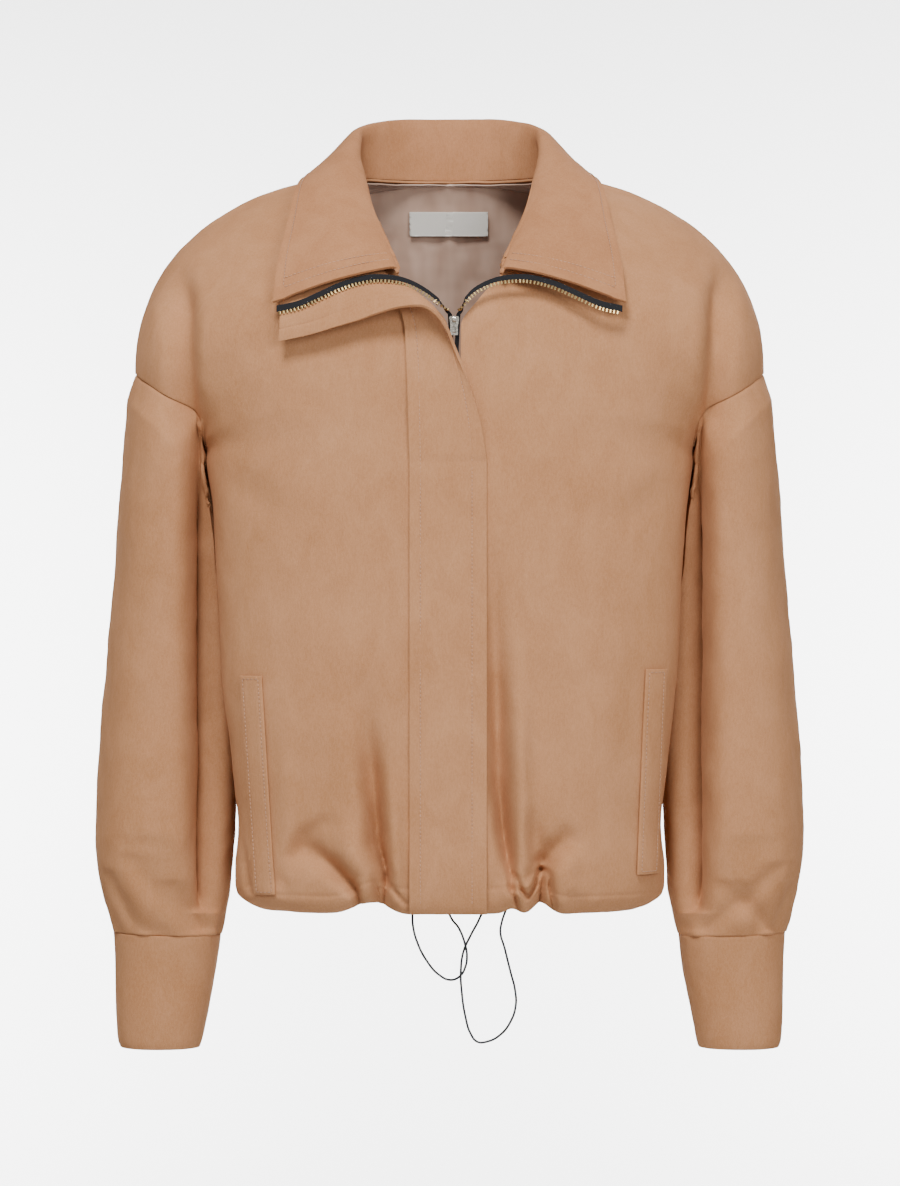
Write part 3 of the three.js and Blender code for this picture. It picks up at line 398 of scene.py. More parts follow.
BACK_FOLDS = tuple(Fold(*points) for points in (
    ((-66, -420, 12, 0), (-62, -480, 9, 4), (-58, -520, 5, 6), (-56, -548, 2.5, 5)),
    ((-100, -500, 9, 0), (-88, -525, 6, 4), (-80, -548, 3, 4)),
    ((-20, -440, 12, 0), (-14, -500, 8, 4), (-10, -535, 4, 5), (-9, -550, 2.5, 4)),
    ((12, -505, 8, 0), (22, -530, 5, 4), (26, -550, 3, 4)),
    ((52, -430, 12, 0), (50, -490, 8, 4), (45, -530, 4.5, 6), (43, -550, 2.5, 5)),
    ((102, -470, 10, 0), (97, -520, 6, 4), (92, -550, 3, 4)),
    ((-183, -222, 12, 0), (-140, -242, 16, 2.5), (-95, -275, 15, 0)),
    ((181, -226, 12, 0), (140, -250, 16, 2.5), (96, -278, 15, 0)),
    ((-110, -150, 20, 0), (-60, -140, 24, 1.5), (0, -150, 24, 0)),
))
FOLDS = {"front": FRONT_FOLDS, "back": BACK_FOLDS}
# Where the drawcord pulls the hem up, as (x, half-width, lift).
HEM_LIFTS = {
    "front": ((-54, 13, 7.5), (-68, 12, 5.0), (47, 7, 4.5), (70, 9, 8.5)),
    "back": ((-58, 12, 3.0), (-10, 14, 3.0), (44, 12, 3.5), (92, 12, 2.5), (-80, 9, 2.0)),
}
FINE_SLEEVE_CREASES = {
    -1: [SleeveCrease(*row) for row in (
        (70, 50, 0.74, 0.99, 13, 6.0),
        (40, 30, 0.78, 0.99, 12, 4.5),
        (100, 30, 0.8, 0.99, 10, 5.0),
        (150, -20, 0.45, 0.98, 12, 2.5),
        (138, -4, 0.02, 0.86, 13, 9.0),
        (112, 14, 0.0, 0.5, 10, 4.0),
        (20, 12, 0.1, 0.7, 22, 2.0),
        (330, -20, 0.2, 0.9, 20, 2.2),
    )],
    1: [SleeveCrease(*row) for row in (
        (60, 60, 0.76, 0.99, 13, 5.5),
        (100, -45, 0.8, 0.99, 11, 5.0),
        (30, 20, 0.8, 0.99, 12, 4.0),
        (145, -12, 0.5, 0.98, 12, 2.2),
        (138, -4, 0.02, 0.86, 13, 9.0),
        (112, 14, 0.0, 0.5, 10, 4.0),
        (25, 10, 0.15, 0.75, 22, 1.8),
        (325, -16, 0.25, 0.9, 20, 2.0),
    )],
}


class WeltRow(NamedTuple):
    """A pocket welt as seen from the front: its side edges at the top and at the bottom."""

    side: int
    top_z: float
    bottom_z: float
    top_out: float
    top_in: float
    bottom_out: float
    bottom_in: float


POCKET_WELTS = [WeltRow(*row) for row in (
    (-1, -377, -543, 158, 141, 147, 131),
    (1, -372, -528, 164, 148, 158, 141),
)]
# Routes of the cord loops, as in the CAD part.
DRAWCORD_A = (
    (-28, -103.1, -553.5), (-27.6, -104, -566), (-24, -107, -579), (-17, -111, -592),
    (-8, -114, -602), (1, -114, -606), (8, -114, -603), (12, -115, -596),
    (13.2, -116, -588), (11.5, -117, -578), (7, -112, -567), (2, -106, -561),
    (-2, -103.1, -553),
)
DRAWCORD_B = (
    (26, -103.3, -553), (22, -104.4, -562), (16, -107, -573), (10.5, -112, -585),
    (8.6, -109, -600), (9.5, -107, -618), (12, -108, -634), (16, -109, -647),
    (21, -110, -653), (28, -110, -653), (38, -110, -648), (46, -110, -638),
    (50, -109, -626), (49.5, -109, -614), (46, -109, -600), (41.5, -109, -582),
    (38.5, -108, -571), (39.6, -104.2, -563), (43, -103.1, -553),
)


def soft_step(value: float) -> float:
    """Eases from 0 to 1.

    Args:
        value: where between 0 and 1.
    Returns: the eased value.
    """
    t = min(max(value, 0.0), 1.0)
    return t * t * (3 - 2 * t)


def bell(offset: float, half: float) -> float:
    """A smooth bump.

    Args:
        offset: distance from its middle.
        half: distance at which it has mostly faded.
    Returns: 1 at the middle, falling to 0.
    """
    return math.exp(-((offset / half) ** 2))


def gentle_slope(step_before: float, step_after: float) -> float:
    """A table's slope at a value, so gentle that the curve never overshoots.

    Args:
        step_before: difference from the value before.
        step_after: difference to the value after.
    Returns: the slope per row.
    """
    if step_before * step_after <= 0:
        return 0.0
    least = 2 * min(abs(step_before), abs(step_after))
    return math.copysign(min(abs(step_before + step_after) / 2, least), step_before)


@lru_cache(maxsize=20000)
def read_table(name: str, at: float):
    """Reads a table smoothly between its rows.

    Args:
        name: key in TABLES.
        at: fractional row.
    Returns: a row of the same kind.
    """
    rows = TABLES[name]
    last = len(rows) - 1
    low = min(max(math.floor(at), 0), last - 1)
    t = at - low
    before = rows[max(low - 1, 0)]
    after = rows[min(low + 2, last)]
    bend = 2 * t ** 3 - 3 * t ** 2
    values = []
    for start, stop, previous, following in zip(rows[low], rows[low + 1], before, after):
        slope_start = gentle_slope(start - previous, stop - start) if low > 0 else stop - start
        slope_stop = gentle_slope(stop - start, following - stop) if low + 2 <= last else stop - start
        values.append((bend + 1) * start - bend * stop
                      + (t ** 3 - 2 * t ** 2 + t) * slope_start + (t ** 3 - t ** 2) * slope_stop)
    return type(rows[0])(*values)


def crease_depth(creases: Sequence[Crease], x: float, z: float) -> float:
    """How far a panel's creases sink it.

    Args:
        creases: the panel's creases.
        x: across, seen from the front.
        z: height.
    Returns: the sum of their depths there.
    """
    total = 0.0
    for crease in creases:
        run_x = crease.bottom_x - crease.top_x
        run_z = crease.bottom_z - crease.top_z
        along = ((x - crease.top_x) * run_x + (z - crease.top_z) * run_z) / (run_x ** 2 + run_z ** 2)
        held = min(max(along, 0.0), 1.0)
        across = math.hypot(x - crease.top_x - held * run_x, z - crease.top_z - held * run_z)
        if across < 3 * crease.half:
            total += crease.depth * soft_step(held * 2.5) * bell(across, crease.half)
    return total


def body_point(panel: str, side: int, row: float, turn: float, detail: bool = True) -> Vector:
    """A point of the front or back panel.

    Args:
        panel: "front" or "back".
        side: -1 or 1.
        row: fractional row of the panel's table.
        turn: 0 at the centre and 1 at the side seam.
        detail: add the fine creases that the CAD part leaves out.
    Returns: the point in millimetres.
    """
    section = read_table(panel, row)
    zip_shift = side * ZIP_X * soft_step((row - NECK_ROW) / 2) if panel == "front" else 0.0
    inner_x = section.inner_x + zip_shift
    angle = turn * math.pi / 2
    out = max(math.sin(angle), 0.0) ** (2 / section.square)
    hold = max(math.cos(angle), 0.0) ** (2 / section.square)
    corner_x = section.outer_x + section.dent
    x = side * (inner_x + (corner_x - inner_x) * out - section.dent * turn ** 6)
    y = section.outer_y + (section.inner_y - section.outer_y) * hold
    fall = SHOULDER_FALL * soft_step(1 - row / 6)
    z = section.inner_z - fall * out + (section.outer_z - section.inner_z + fall) * (1 - hold)
    outward = Vector((x / HALF_CHEST_X ** 2, y / HALF_CHEST_Y ** 2, 0)).normalized()
    sink = crease_depth(CREASES[panel], x, z)
    if detail:
        sink += sum(fold.depth(x, z) for fold in FOLDS[panel]) + hem_gathers(panel, x, z)
        pulled = sum(lift * bell(x - middle, half) for middle, half, lift in HEM_LIFTS[panel])
        z += pulled * soft_step((-495 - z) / 45)
    return Vector((x, y, z)) - outward * sink


def hem_gathers(panel: str, x: float, z: float) -> float:
    """The small uneven ripples that the drawcord pulls into the hem, and the casing's sewn line.

    Args:
        panel: "front" or "back".
        x: across.
        z: height.
    Returns: how far they sink the cloth.
    """
    fade = soft_step((-505 - z) / 34)
    if fade == 0:
        return 0.0
    strength = 0.9 if panel == "back" else 0.3 + 0.8 * bell(abs(x) - 46, 36)
    phase = x / 6.1 + 1.7 * math.sin(x / 23.0) + 0.9 * math.sin(x / 9.7 + 1)
    ripple = strength * fade * math.cos(phase)
    casing_z = CASING_Z + 7 * bell(abs(x) - 20, 34)
    casing = 0.6 * bell(z - casing_z, 1.6)
    return ripple + casing


def surface_normal(point_at: Callable[[float, float], Vector], down: float, across: float,
                   step: float, reference: Vector) -> Vector:
    """A surface's normal by small steps.

    Args:
        point_at: the surface.
        down: first coordinate.
        across: second coordinate.
        step: size of the steps.
        reference: a direction on the side that the normal should face.
    Returns: the unit normal.
    """
    middle = point_at(down, across)
    normal = (point_at(down, across + step) - middle).cross(point_at(down + step, across) - middle)
    normal.normalize()
    return -normal if normal.dot(reference) < 0 else normal


def sunk_point(panel: str, side: int, row: float, turn: float, sink: float,
               detail: bool = True) -> Vector:
    """A panel point moved in, square to the panel.

    Args:
        panel: "front" or "back".
        side: -1 or 1.
        row: fractional row.
        turn: 0 at the centre and 1 at the side.
        sink: how far in.
        detail: follow the fine creases too.
    Returns: the point in millimetres.
    """
    step = 0.02
    low = min(row, len(TABLES[panel]) - 1 - step)
    turn_low = min(turn, 1 - step)
    point = body_point(panel, side, row, turn, detail)
    reference = Vector((point.x, point.y, point.z + 250))
    normal = surface_normal(lambda down, across: body_point(panel, side, down, across, detail),
                            low, turn_low, step, reference)
    return point - normal * sink


@lru_cache(maxsize=40000)
def panel_place(panel: str, x: float, z: float) -> tuple[int, float, float]:
    """Where on a panel a point seen from the front lies.

    Args:
        panel: "front" or "back".
        x: across.
        z: height.
    Returns: side, fractional row and turn.
    """
    side = -1 if x < 0 else 1
    row, turn = 12.0, 0.5
    for _ in range(14):
        here = body_point(panel, side, row, turn, False)
        by_row = body_point(panel, side, row + 0.01, turn, False) - here
        by_turn = body_point(panel, side, row, turn + 0.01, False) - here
        miss_x, miss_z = x - here.x, z - here.z
        if abs(miss_x) + abs(miss_z) < 0.01:
            break
        scale = by_row.x * by_turn.z - by_turn.x * by_row.z
        if abs(scale) < 1e-9:
            break
        row += 0.01 * max(min((miss_x * by_turn.z - by_turn.x * miss_z) / scale, 150), -150)
        turn += 0.01 * max(min((by_row.x * miss_z - miss_x * by_row.z) / scale, 15), -15)
        row = min(max(row, NECK_ROW), len(TABLES[panel]) - 1.02)
        turn = min(max(turn, 0.004), 0.96)
    return side, row, turn


def raised_point(panel: str, x: float, z: float, height: float, detail: bool = True) -> Vector:
    """The panel point that shows at a place seen from the front or back, raised off the cloth.

    Args:
        panel: "front" or "back".
        x: across.
        z: height above the origin.
        height: distance off the cloth.
        detail: follow the fine creases too.
    Returns: the point in millimetres.
    """
    side, row, turn = panel_place(panel, x, z)
    return sunk_point(panel, side, row, turn, -height, detail)


def chest_y(x: float, z: float) -> float:
    """The plain chest under the collar and placket.

    Args:
        x: across.
        z: height.
    Returns: its Y.
    """
    depth = 103 + 14 * soft_step((-66 - z) / 40) + 7 * soft_step((-100 - z) / 90)
    half_width = 228 + 38 * soft_step((-70 - z) / 25)
    return -depth * (1 - (abs(x) / half_width) ** 2.5) ** 0.4


def torso_half_width(y: float, z: float) -> float:
    """The torso's outer half-width below the armpit, which the sleeves stay clear of.

    Args:
        y: depth.
        z: height.
    Returns: the half-width.
    """
    panel = "front" if y < 0 else "back"
    low, high = float(UNDERARM_ROW), 16.0
    for _ in range(12):
        middle = (low + high) / 2
        if read_table(panel, middle).outer_z > z:
            low = middle
        else:
            high = middle
    section = read_table(panel, low)
    hold = min(abs(y / section.inner_y), 1.0)
    angle = math.acos(hold ** (section.square / 2))
    corner_x = section.outer_x + section.dent
    return corner_x * math.sin(angle) ** (2 / section.square) - section.dent * (angle * 2 / math.pi) ** 6


def armhole_point(side: int, angle: float) -> Vector:
    """The armhole's loop.

    Args:
        side: -1 or 1.
        angle: 0 at the shoulder, 90 at the front, 180 at the underarm, 270 at the back.
    Returns: the point, mirrored to the wearer's left.
    """
    share = angle / 180 if angle <= 180 else (360 - angle) / 180
    point = body_point("front" if angle <= 180 else "back", side, share * UNDERARM_ROW, 1.0)
    point.x *= side
    return point


def ring_point(ring: Ring, angle: float) -> Vector:
    """A point of a sleeve or cuff ring.

    Args:
        ring: the ring.
        angle: 0 outside, 90 in front, 180 beside the body.
    Returns: the point for the wearer's left.
    """
    turn = math.radians(angle)
    across = math.copysign(abs(math.cos(turn)) ** (2 / SLEEVE_SQUARE), math.cos(turn))
    through = math.copysign(abs(math.sin(turn)) ** (2 / SLEEVE_SQUARE), math.sin(turn))
    return Vector((
        (ring.outer_x + ring.inner_x) / 2 + across * (ring.outer_x - ring.inner_x) / 2,
        ring.mid - through * ring.deep,
        (ring.outer_z + ring.inner_z) / 2 + across * (ring.outer_z - ring.inner_z) / 2,
    ))


def sleeve_point(side: int, down: float, angle: float) -> Vector:
    """A point of a sleeve.

    Args:
        side: -1 or 1.
        down: 0 at the armhole and 1 at the cuff.
        angle: 0 outside, 90 in front, 180 beside the body.
    Returns: the point in millimetres.
    """
    rings = TABLES["sleeve"]
    at = down * len(rings) - 1
    point = armhole_point(side, angle)
    point.z -= SEAM_GAP * 2.5
    point.x += 2.2 * soft_step((-192 - point.z) / 12)
    if at >= 0:
        point = ring_point(read_table("sleeve", at), angle)
    elif at > -1:
        point = point.lerp(ring_point(rings[0], angle), at + 1)
    turn = math.radians(angle)
    outward = Vector((math.cos(turn) ** 3, -math.sin(turn), 0)).normalized()
    for crease in SLEEVE_CREASES + FINE_SLEEVE_CREASES[side]:
        along = (down - crease.start) / (crease.stop - crease.start)
        if 0 < along < 1:
            off = (angle - crease.angle - crease.slope * along + 180) % 360 - 180
            fade = math.sin(math.pi * along) ** 0.5
            point -= outward * crease.depth * fade * bell(off, crease.half_angle)
    gathered = soft_step((down - 0.86) / 0.12)
    if gathered > 0:
        fold = math.cos(9 * turn + side) + 0.7 * math.cos(14 * turn + 2.1 * side)
        point -= outward * 0.8 * gathered * fold
    if point.x < SLEEVE_MIDDLE_X and down > 0.03:
        clear = BODY_CLEARANCE * soft_step(down * 14)
        point.x = max(point.x, torso_half_width(point.y, point.z) + clear)
    point.x *= side
    return point


def cuff_point(side: int, down: float, angle: float) -> Vector:
    """A point of a cuff.

    Args:
        side: -1 or 1.
        down: 0 at the sleeve's seam and 1 at the wrist.
        angle: 0 outside, 90 in front.
    Returns: the point in millimetres.
    """
    point = ring_point(read_table("cuff", down * (len(TABLES["cuff"]) - 1)), angle)
    point.z -= SEAM_GAP
    point.x *= side
    return point


def collar_section(row: CollarRow) -> list[Vector]:
    """The control points of a collar section.

    Args:
        row: the section's table row.
    Returns: points from the neck seam to the free edge.
    """
    seam = Vector((row.seam_x, row.seam_y, row.seam_z))
    roll = Vector((row.roll_x, row.roll_y, row.roll_z))
    edge = Vector((row.edge_x, row.edge_y, row.edge_z))
    outward = Vector((edge.x - roll.x, edge.y - roll.y, 0)).normalized()
    fold = min(5.0, (roll - seam).length * 0.35)
    chord = edge - roll
    lift = Vector((outward.x * 0.3, outward.y * 0.3 - 0.75 * soft_step(-row.roll_y / 60), 0))
    lift.z = max(0.35, 1 - 2 * abs(lift.y))
    lift.normalize()
    return [
        seam,
        seam.lerp(roll, 0.55) - outward * fold * 0.3,
        roll - outward * fold * 0.5 - Vector((0, 0, fold)),
        roll,
        roll + chord * 0.14 + lift * (row.crown * 0.6 + fold * 0.35),
        roll + chord * 0.5 + lift * row.crown,
        edge,
    ]


def centripetal(points: Sequence[Vector], share: float) -> Vector:
    """A centripetal Catmull-Rom curve.

    Args:
        points: its control points.
        share: 0 at the first and 1 at the last.
    Returns: the point on the curve.
    """
    spans = len(points) - 1
    low = min(int(share * spans), spans - 1)
    t = share * spans - low
    second, third = points[low], points[low + 1]
    first = points[low - 1] if low > 0 else second * 2 - third
    fourth = points[low + 2] if low + 2 <= spans else third * 2 - second
    step_a = max((second - first).length ** 0.5, 1e-4)
    step_b = max((third - second).length ** 0.5, 1e-4)
    step_c = max((fourth - third).length ** 0.5, 1e-4)
    slope_second = ((second - first) / step_a - (third - first) / (step_a + step_b)
                    + (third - second) / step_b) * step_b
    slope_third = ((third - second) / step_b - (fourth - second) / (step_b + step_c)
                   + (fourth - third) / step_c) * step_b
    bend = 2 * t ** 3 - 3 * t ** 2
    return (second * (bend + 1) - third * bend
            + slope_second * (t ** 3 - 2 * t ** 2 + t) + slope_third * (t ** 3 - t ** 2))


def collar_point(across: float, rise: float) -> Vector:
    """A point of the collar.

    Args:
        across: -1 at the wearer's right front end, 0 at the centre back and 1 at the left end.
        rise: 0 at the neck seam and 1 at the free edge.
    Returns: the point in millimetres.
    """
    row = read_table("collar", abs(across) * (len(TABLES["collar"]) - 1))
    point = centripetal(collar_section(row), rise)
    if across < 0:
        point.x = -point.x
    return point


def teeth_point(side: int, along: float) -> Vector:
    """A point of the open zip's line of teeth.

    Args:
        side: -1 or 1.
        along: 0 at the slider and 1 at the collar's tip.
    Returns: the point in millimetres.
    """
    read = read_table("teeth", along * (len(TABLES["teeth"]) - 1))
    x = side * read.x + ZIP_X * (1 - soft_step(along * 4))
    return Vector((x, chest_y(x, read.z) - read.lift, read.z))


def placket_point(along: float, t: float, height: float = 0.0) -> Vector:
    """A point of the placket's outer face.

    Args:
        along: 0 at the hem, 1 where the turn starts and 2 at its end on the wing.
        t: -1 at its seam edge and 1 at its free edge.
        height: distance off its face, on the chest only.
    Returns: the point in millimetres.
    """
    top_z = TABLES["turn"][0].seam_z
    if along < 1:
        z = PLACKET_HEM_Z + (top_z - PLACKET_HEM_Z) * along
        x = -1 + t * (PLACKET_HALF_WIDTH - 1)
        over_zip = abs(x - ZIP_X) <= FRONT_EDGE_FROM_ZIP
        seen_x = ZIP_X - FRONT_EDGE_FROM_ZIP - 0.1 if over_zip else x
        lift = SEAM_GAP + 0.1 + DOUBLE_WALL + 0.9 * soft_step((-500 - z) / 30)
        point = raised_point("front", seen_x, z, lift + height, False)
        point.x = x
        return point
    read = read_table("turn", (along - 1) * (len(TABLES["turn"]) - 1))

    def line_at(x: float, z: float, lift: float) -> Vector:
        return Vector((x, chest_y(x, z) - lift, z))

    return (line_at(read.seam_x, read.seam_z, read.seam_lift) * (t * (t - 1) / 2)
            + line_at(read.sew_x, read.sew_z, read.sew_lift) * (1 - t * t)
            + line_at(read.free_x, read.free_z, read.free_lift) * (t * (t + 1) / 2))


def linear(hex_colour: str) -> tuple[float, float, float, float]:
    """Turns an sRGB hex colour into Blender's linear one.

    Args:
        hex_colour: six hex digits.
    Returns: red, green, blue and alpha.
    """
    channels = [int(hex_colour[at:at + 2], 16) / 255 for at in (0, 2, 4)]
    return (*[c / 12.92 if c <= 0.04045 else ((c + 0.055) / 1.055) ** 2.4 for c in channels], 1.0)


class NodeTree:
    """A material's node tree, built one node at a time."""

    def __init__(self, name: str) -> None:
        """Starts a material.

        Args:
            name: the material's name.
        """
        self.material = bpy.data.materials.new(name)
        self.material.use_nodes = True
        self.tree = self.material.node_tree
        self.shader = self.tree.nodes["Principled BSDF"]
        self.place = self.add("ShaderNodeTexCoord").outputs["Object"]

    def add(self, kind: str, settings: dict | None = None, links: dict | None = None):
        """Adds a node.

        Args:
            kind: the node's type.
            settings: properties, or input values by name or number.
            links: sockets by input name or number.
        Returns: the node.
        """
        node = self.tree.nodes.new(kind)
        for key, value in (settings or {}).items():
            if isinstance(key, int) or key in node.inputs:
                node.inputs[key].default_value = value
            else:
                setattr(node, key, value)
        for key, socket in (links or {}).items():
            self.tree.links.new(socket, node.inputs[key])
        return node

    def mapped(self, stretch: Sequence[float]):
        """Object coordinates stretched along the axes.

        Args:
            stretch: scale along X, Y and Z.
        Returns: the socket.
        """
        return self.add("ShaderNodeMapping", {"Scale": tuple(stretch)},
                        {"Vector": self.place}).outputs["Vector"]

    def noise(self, size_mm: float, detail: float = 3.0, rough: float = 0.55,
              stretch: Sequence[float] = (1, 1, 1), warp: float = 0.0):
        """A noise pattern whose blobs have a real size.

        Args:
            size_mm: width of a blob.
            detail: octaves.
            rough: roughness between octaves.
            stretch: squeeze along the axes.
            warp: distortion.
        Returns: the factor socket.
        """
        settings = {"Scale": 1 / (size_mm * MM), "Detail": detail, "Roughness": rough, "Distortion": warp}
        return self.add("ShaderNodeTexNoise", settings,
                        {"Vector": self.mapped(stretch)}).outputs["Fac"]

    def span(self, socket, low: float, high: float, out_low: float = 0.0, out_high: float = 1.0):
        """Maps a socket's range softly to another.

        Args:
            socket: the value.
            low: input that gives out_low.
            high: input that gives out_high.
            out_low: lowest output.
            out_high: highest output.
        Returns: the mapped socket.
        """
        settings = {"interpolation_type": "SMOOTHSTEP", "From Min": low, "From Max": high,
                    "To Min": out_low, "To Max": out_high}
        return self.add("ShaderNodeMapRange", settings, {"Value": socket}).outputs["Result"]

    def maths(self, operation: str, first, second):
        """Combines two values.

        Args:
            operation: name of the math operation.
            first: a socket or number.
            second: a socket or number.
        Returns: the result socket.
        """
        node = self.add("ShaderNodeMath", {"operation": operation})
        for at, value in enumerate((first, second)):
            if isinstance(value, (int, float)):
                node.inputs[at].default_value = value
            else:
                self.tree.links.new(value, node.inputs[at])
        return node.outputs[0]

    def mix(self, factor, first, second):
        """Mixes two colours.

        Args:
            factor: socket or number.
            first: a socket or colour.
            second: a socket or colour.
        Returns: the colour socket.
        """
        node = self.add("ShaderNodeMix", {"data_type": "RGBA"})
        for at, value in ((0, factor), (6, first), (7, second)):
            if isinstance(value, (int, float, tuple)):
                node.inputs[at].default_value = value
            else:
                self.tree.links.new(value, node.inputs[at])
        return node.outputs[2]

    def bump(self, height, depth_mm: float, strength: float = 1.0, below=None):
        """Raises the surface by a pattern.

        Args:
            height: the pattern's socket.
            depth_mm: its real depth.
            strength: share of it that shows.
            below: normal socket of another bump.
        Returns: the normal socket.
        """
        links = {"Height": height}
        if below is not None:
            links["Normal"] = below
        return self.add("ShaderNodeBump", {"Distance": depth_mm * MM, "Strength": strength},
                        links).outputs["Normal"]

    def finish(self, links: dict | None = None, **values) -> bpy.types.Material:
        """Sets the shader.

        Args:
            links: sockets by the shader's input names.
            values: constants by input name, with spaces as underscores.
        Returns: the material.
        """
        for key, value in values.items():
            self.shader.inputs[key.replace("_", " ")].default_value = value
        for key, socket in (links or {}).items():
            self.tree.links.new(socket, self.shader.inputs[key])
        return self.material


@dataclass(frozen=True)
class SuedeFinish:
    """Brushed faux suede: the nap lies this way and that, so soft lighter and darker strokes show."""

    light: str = "c6926b"
    deep: str = "a06c45"
    stroke_mm: float = 22.0
    grain_mm: float = 0.5

    def build(self, name: str) -> bpy.types.Material:
        """Builds the material.

        Args:
            name: its name.
        Returns: the material.
        """
        nodes = NodeTree(name)
        strokes = nodes.noise(self.stroke_mm, 4, 0.6, (1.0, 1.0, 0.55), 0.7)
        clouds = nodes.noise(self.stroke_mm * 4.5, 2, 0.5)
        grain = nodes.noise(self.grain_mm, 3, 0.7)
        fibre = nodes.noise(self.grain_mm * 4, 3, 0.65, (1.6, 1.6, 0.6))
        nap = nodes.maths("ADD", nodes.span(strokes, 0.3, 0.72, 0.22, 0.42),
                          nodes.span(clouds, 0.3, 0.7, 0.08, 0.24))
        nap = nodes.maths("ADD", nap, nodes.span(grain, 0.25, 0.75, -0.12, 0.24))
        nap = nodes.maths("ADD", nap, nodes.span(fibre, 0.3, 0.7, -0.08, 0.12))
        colour = nodes.mix(nap, linear(self.deep), linear(self.light))
        soft = nodes.bump(fibre, 0.35, 0.35)
        normal = nodes.bump(grain, 0.22, 0.55, soft)
        return nodes.finish({"Base Color": colour, "Normal": normal}, Roughness=0.95,
                            Specular_IOR_Level=0.08, Sheen_Weight=0.16, Sheen_Roughness=0.5,
                            Sheen_Tint=linear("dca882"))


@dataclass(frozen=True)
class SatinFinish:
    """Satin lining: fine ribs of yarn and a soft sheen that breaks at its folds."""

    colour: str = "c4a693"
    dark: str = "a98a78"

    def build(self, name: str) -> bpy.types.Material:
        """Builds the material.

        Args:
            name: its name.
        Returns: the material.
        """
        nodes = NodeTree(name)
        cloud = nodes.noise(24, 2, 0.5, (1, 1, 0.5))
        weave = nodes.noise(0.5, 2, 0.6, (1, 1, 0.3))
        colour = nodes.mix(nodes.span(cloud, 0.3, 0.7), linear(self.dark), linear(self.colour))
        return nodes.finish({"Base Color": colour, "Normal": nodes.bump(weave, 0.05, 0.4)},
                            Roughness=0.42, Specular_IOR_Level=0.4, Sheen_Weight=0.2)


@dataclass(frozen=True)
class WovenFinish:
    """Woven yarn, as of a label, a zip tape or an elastic cord: small regular bumps and a dull face."""

    light: str
    deep: str
    yarn_mm: float
    roughness: float

    def build(self, name: str) -> bpy.types.Material:
        """Builds the material.

        Args:
            name: its name.
        Returns: the material.
        """
        nodes = NodeTree(name)
        settings = {"wave_type": "BANDS", "bands_direction": "Z", "Scale": 0.31 / (self.yarn_mm * MM),
                    "Distortion": 0.4}
        rows = nodes.add("ShaderNodeTexWave", settings, {"Vector": nodes.place}).outputs["Fac"]
        settings = {**settings, "bands_direction": "X"}
        columns = nodes.add("ShaderNodeTexWave", settings, {"Vector": nodes.place}).outputs["Fac"]
        yarn = nodes.maths("MULTIPLY", rows, columns)
        colour = nodes.mix(yarn, linear(self.deep), linear(self.light))
        return nodes.finish({"Base Color": colour, "Normal": nodes.bump(yarn, 0.12, 0.5)},
                            Roughness=self.roughness, Specular_IOR_Level=0.3)


@dataclass(frozen=True)
class MetalFinish:
    """Plated metal: bright, with the small unevenness of a tumbled casting."""

    colour: str
    roughness: float

    def build(self, name: str) -> bpy.types.Material:
        """Builds the material.

        Args:
            name: its name.
        Returns: the material.
        """
        nodes = NodeTree(name)
        uneven = nodes.noise(1.2, 2, 0.5)
        rough = nodes.span(uneven, 0.3, 0.7, self.roughness * 0.8, self.roughness * 1.25)
        return nodes.finish({"Roughness": rough, "Normal": nodes.bump(uneven, 0.03, 0.4)},
                            Base_Color=linear(self.colour), Metallic=1.0)


@dataclass(frozen=True)
class PlainFinish:
    """A plain dull surface."""

    colour: str
    roughness: float

    def build(self, name: str) -> bpy.types.Material:
        """Builds the material.

        Args:
            name: its name.
        Returns: the material.
        """
        return NodeTree(name).finish(Base_Color=linear(self.colour), Roughness=self.roughness)


class Looks:
    """The jacket's materials."""

    def __init__(self) -> None:
        """Builds them all."""
        # The nap's strokes and grain tell the eye that this is brushed faux suede and not plain cloth.
        self.suede = SuedeFinish().build("brushed_faux_suede")
        # The collar's suede is painted darker: painted shade for the shadow of its own roll.
        self.collar_suede = SuedeFinish(light="c08a64", deep="98643f").build("brushed_faux_suede_collar")
        # A soft sheen tells satin lining from the suede around it.
        self.lining = SatinFinish().build("taupe_satin_lining")
        # Fine ribs show that the label is woven tape.
        self.label = WovenFinish("f2f0ea", "dcd9d0", 0.5, 0.75).build("white_woven_tape")
        # Dull black yarn sets off the bright teeth.
        self.tape = WovenFinish("2b2b30", "151518", 0.8, 0.85).build("black_zip_tape")
        # Small bumps of braid catch the light on the elastic.
        self.cord = WovenFinish("232327", "0d0d10", 0.9, 0.6).build("black_braided_elastic")
        # Warm plating of the moulded teeth.
        self.brass = MetalFinish("dcbf86", 0.28).build("pale_gold_zip_teeth")
        # Paler plating than that of the teeth.
        self.silver = MetalFinish("d9d3c6", 0.24).build("nickel_zip_slider")
        # Polyester sewing thread is a little smoother and lighter than the nap it sinks into.
        self.thread = PlainFinish("b98f72", 0.7).build("tan_sewing_thread")
        self.floor = PlainFinish("f6f6f6", 1.0).build("pale_paper_floor")


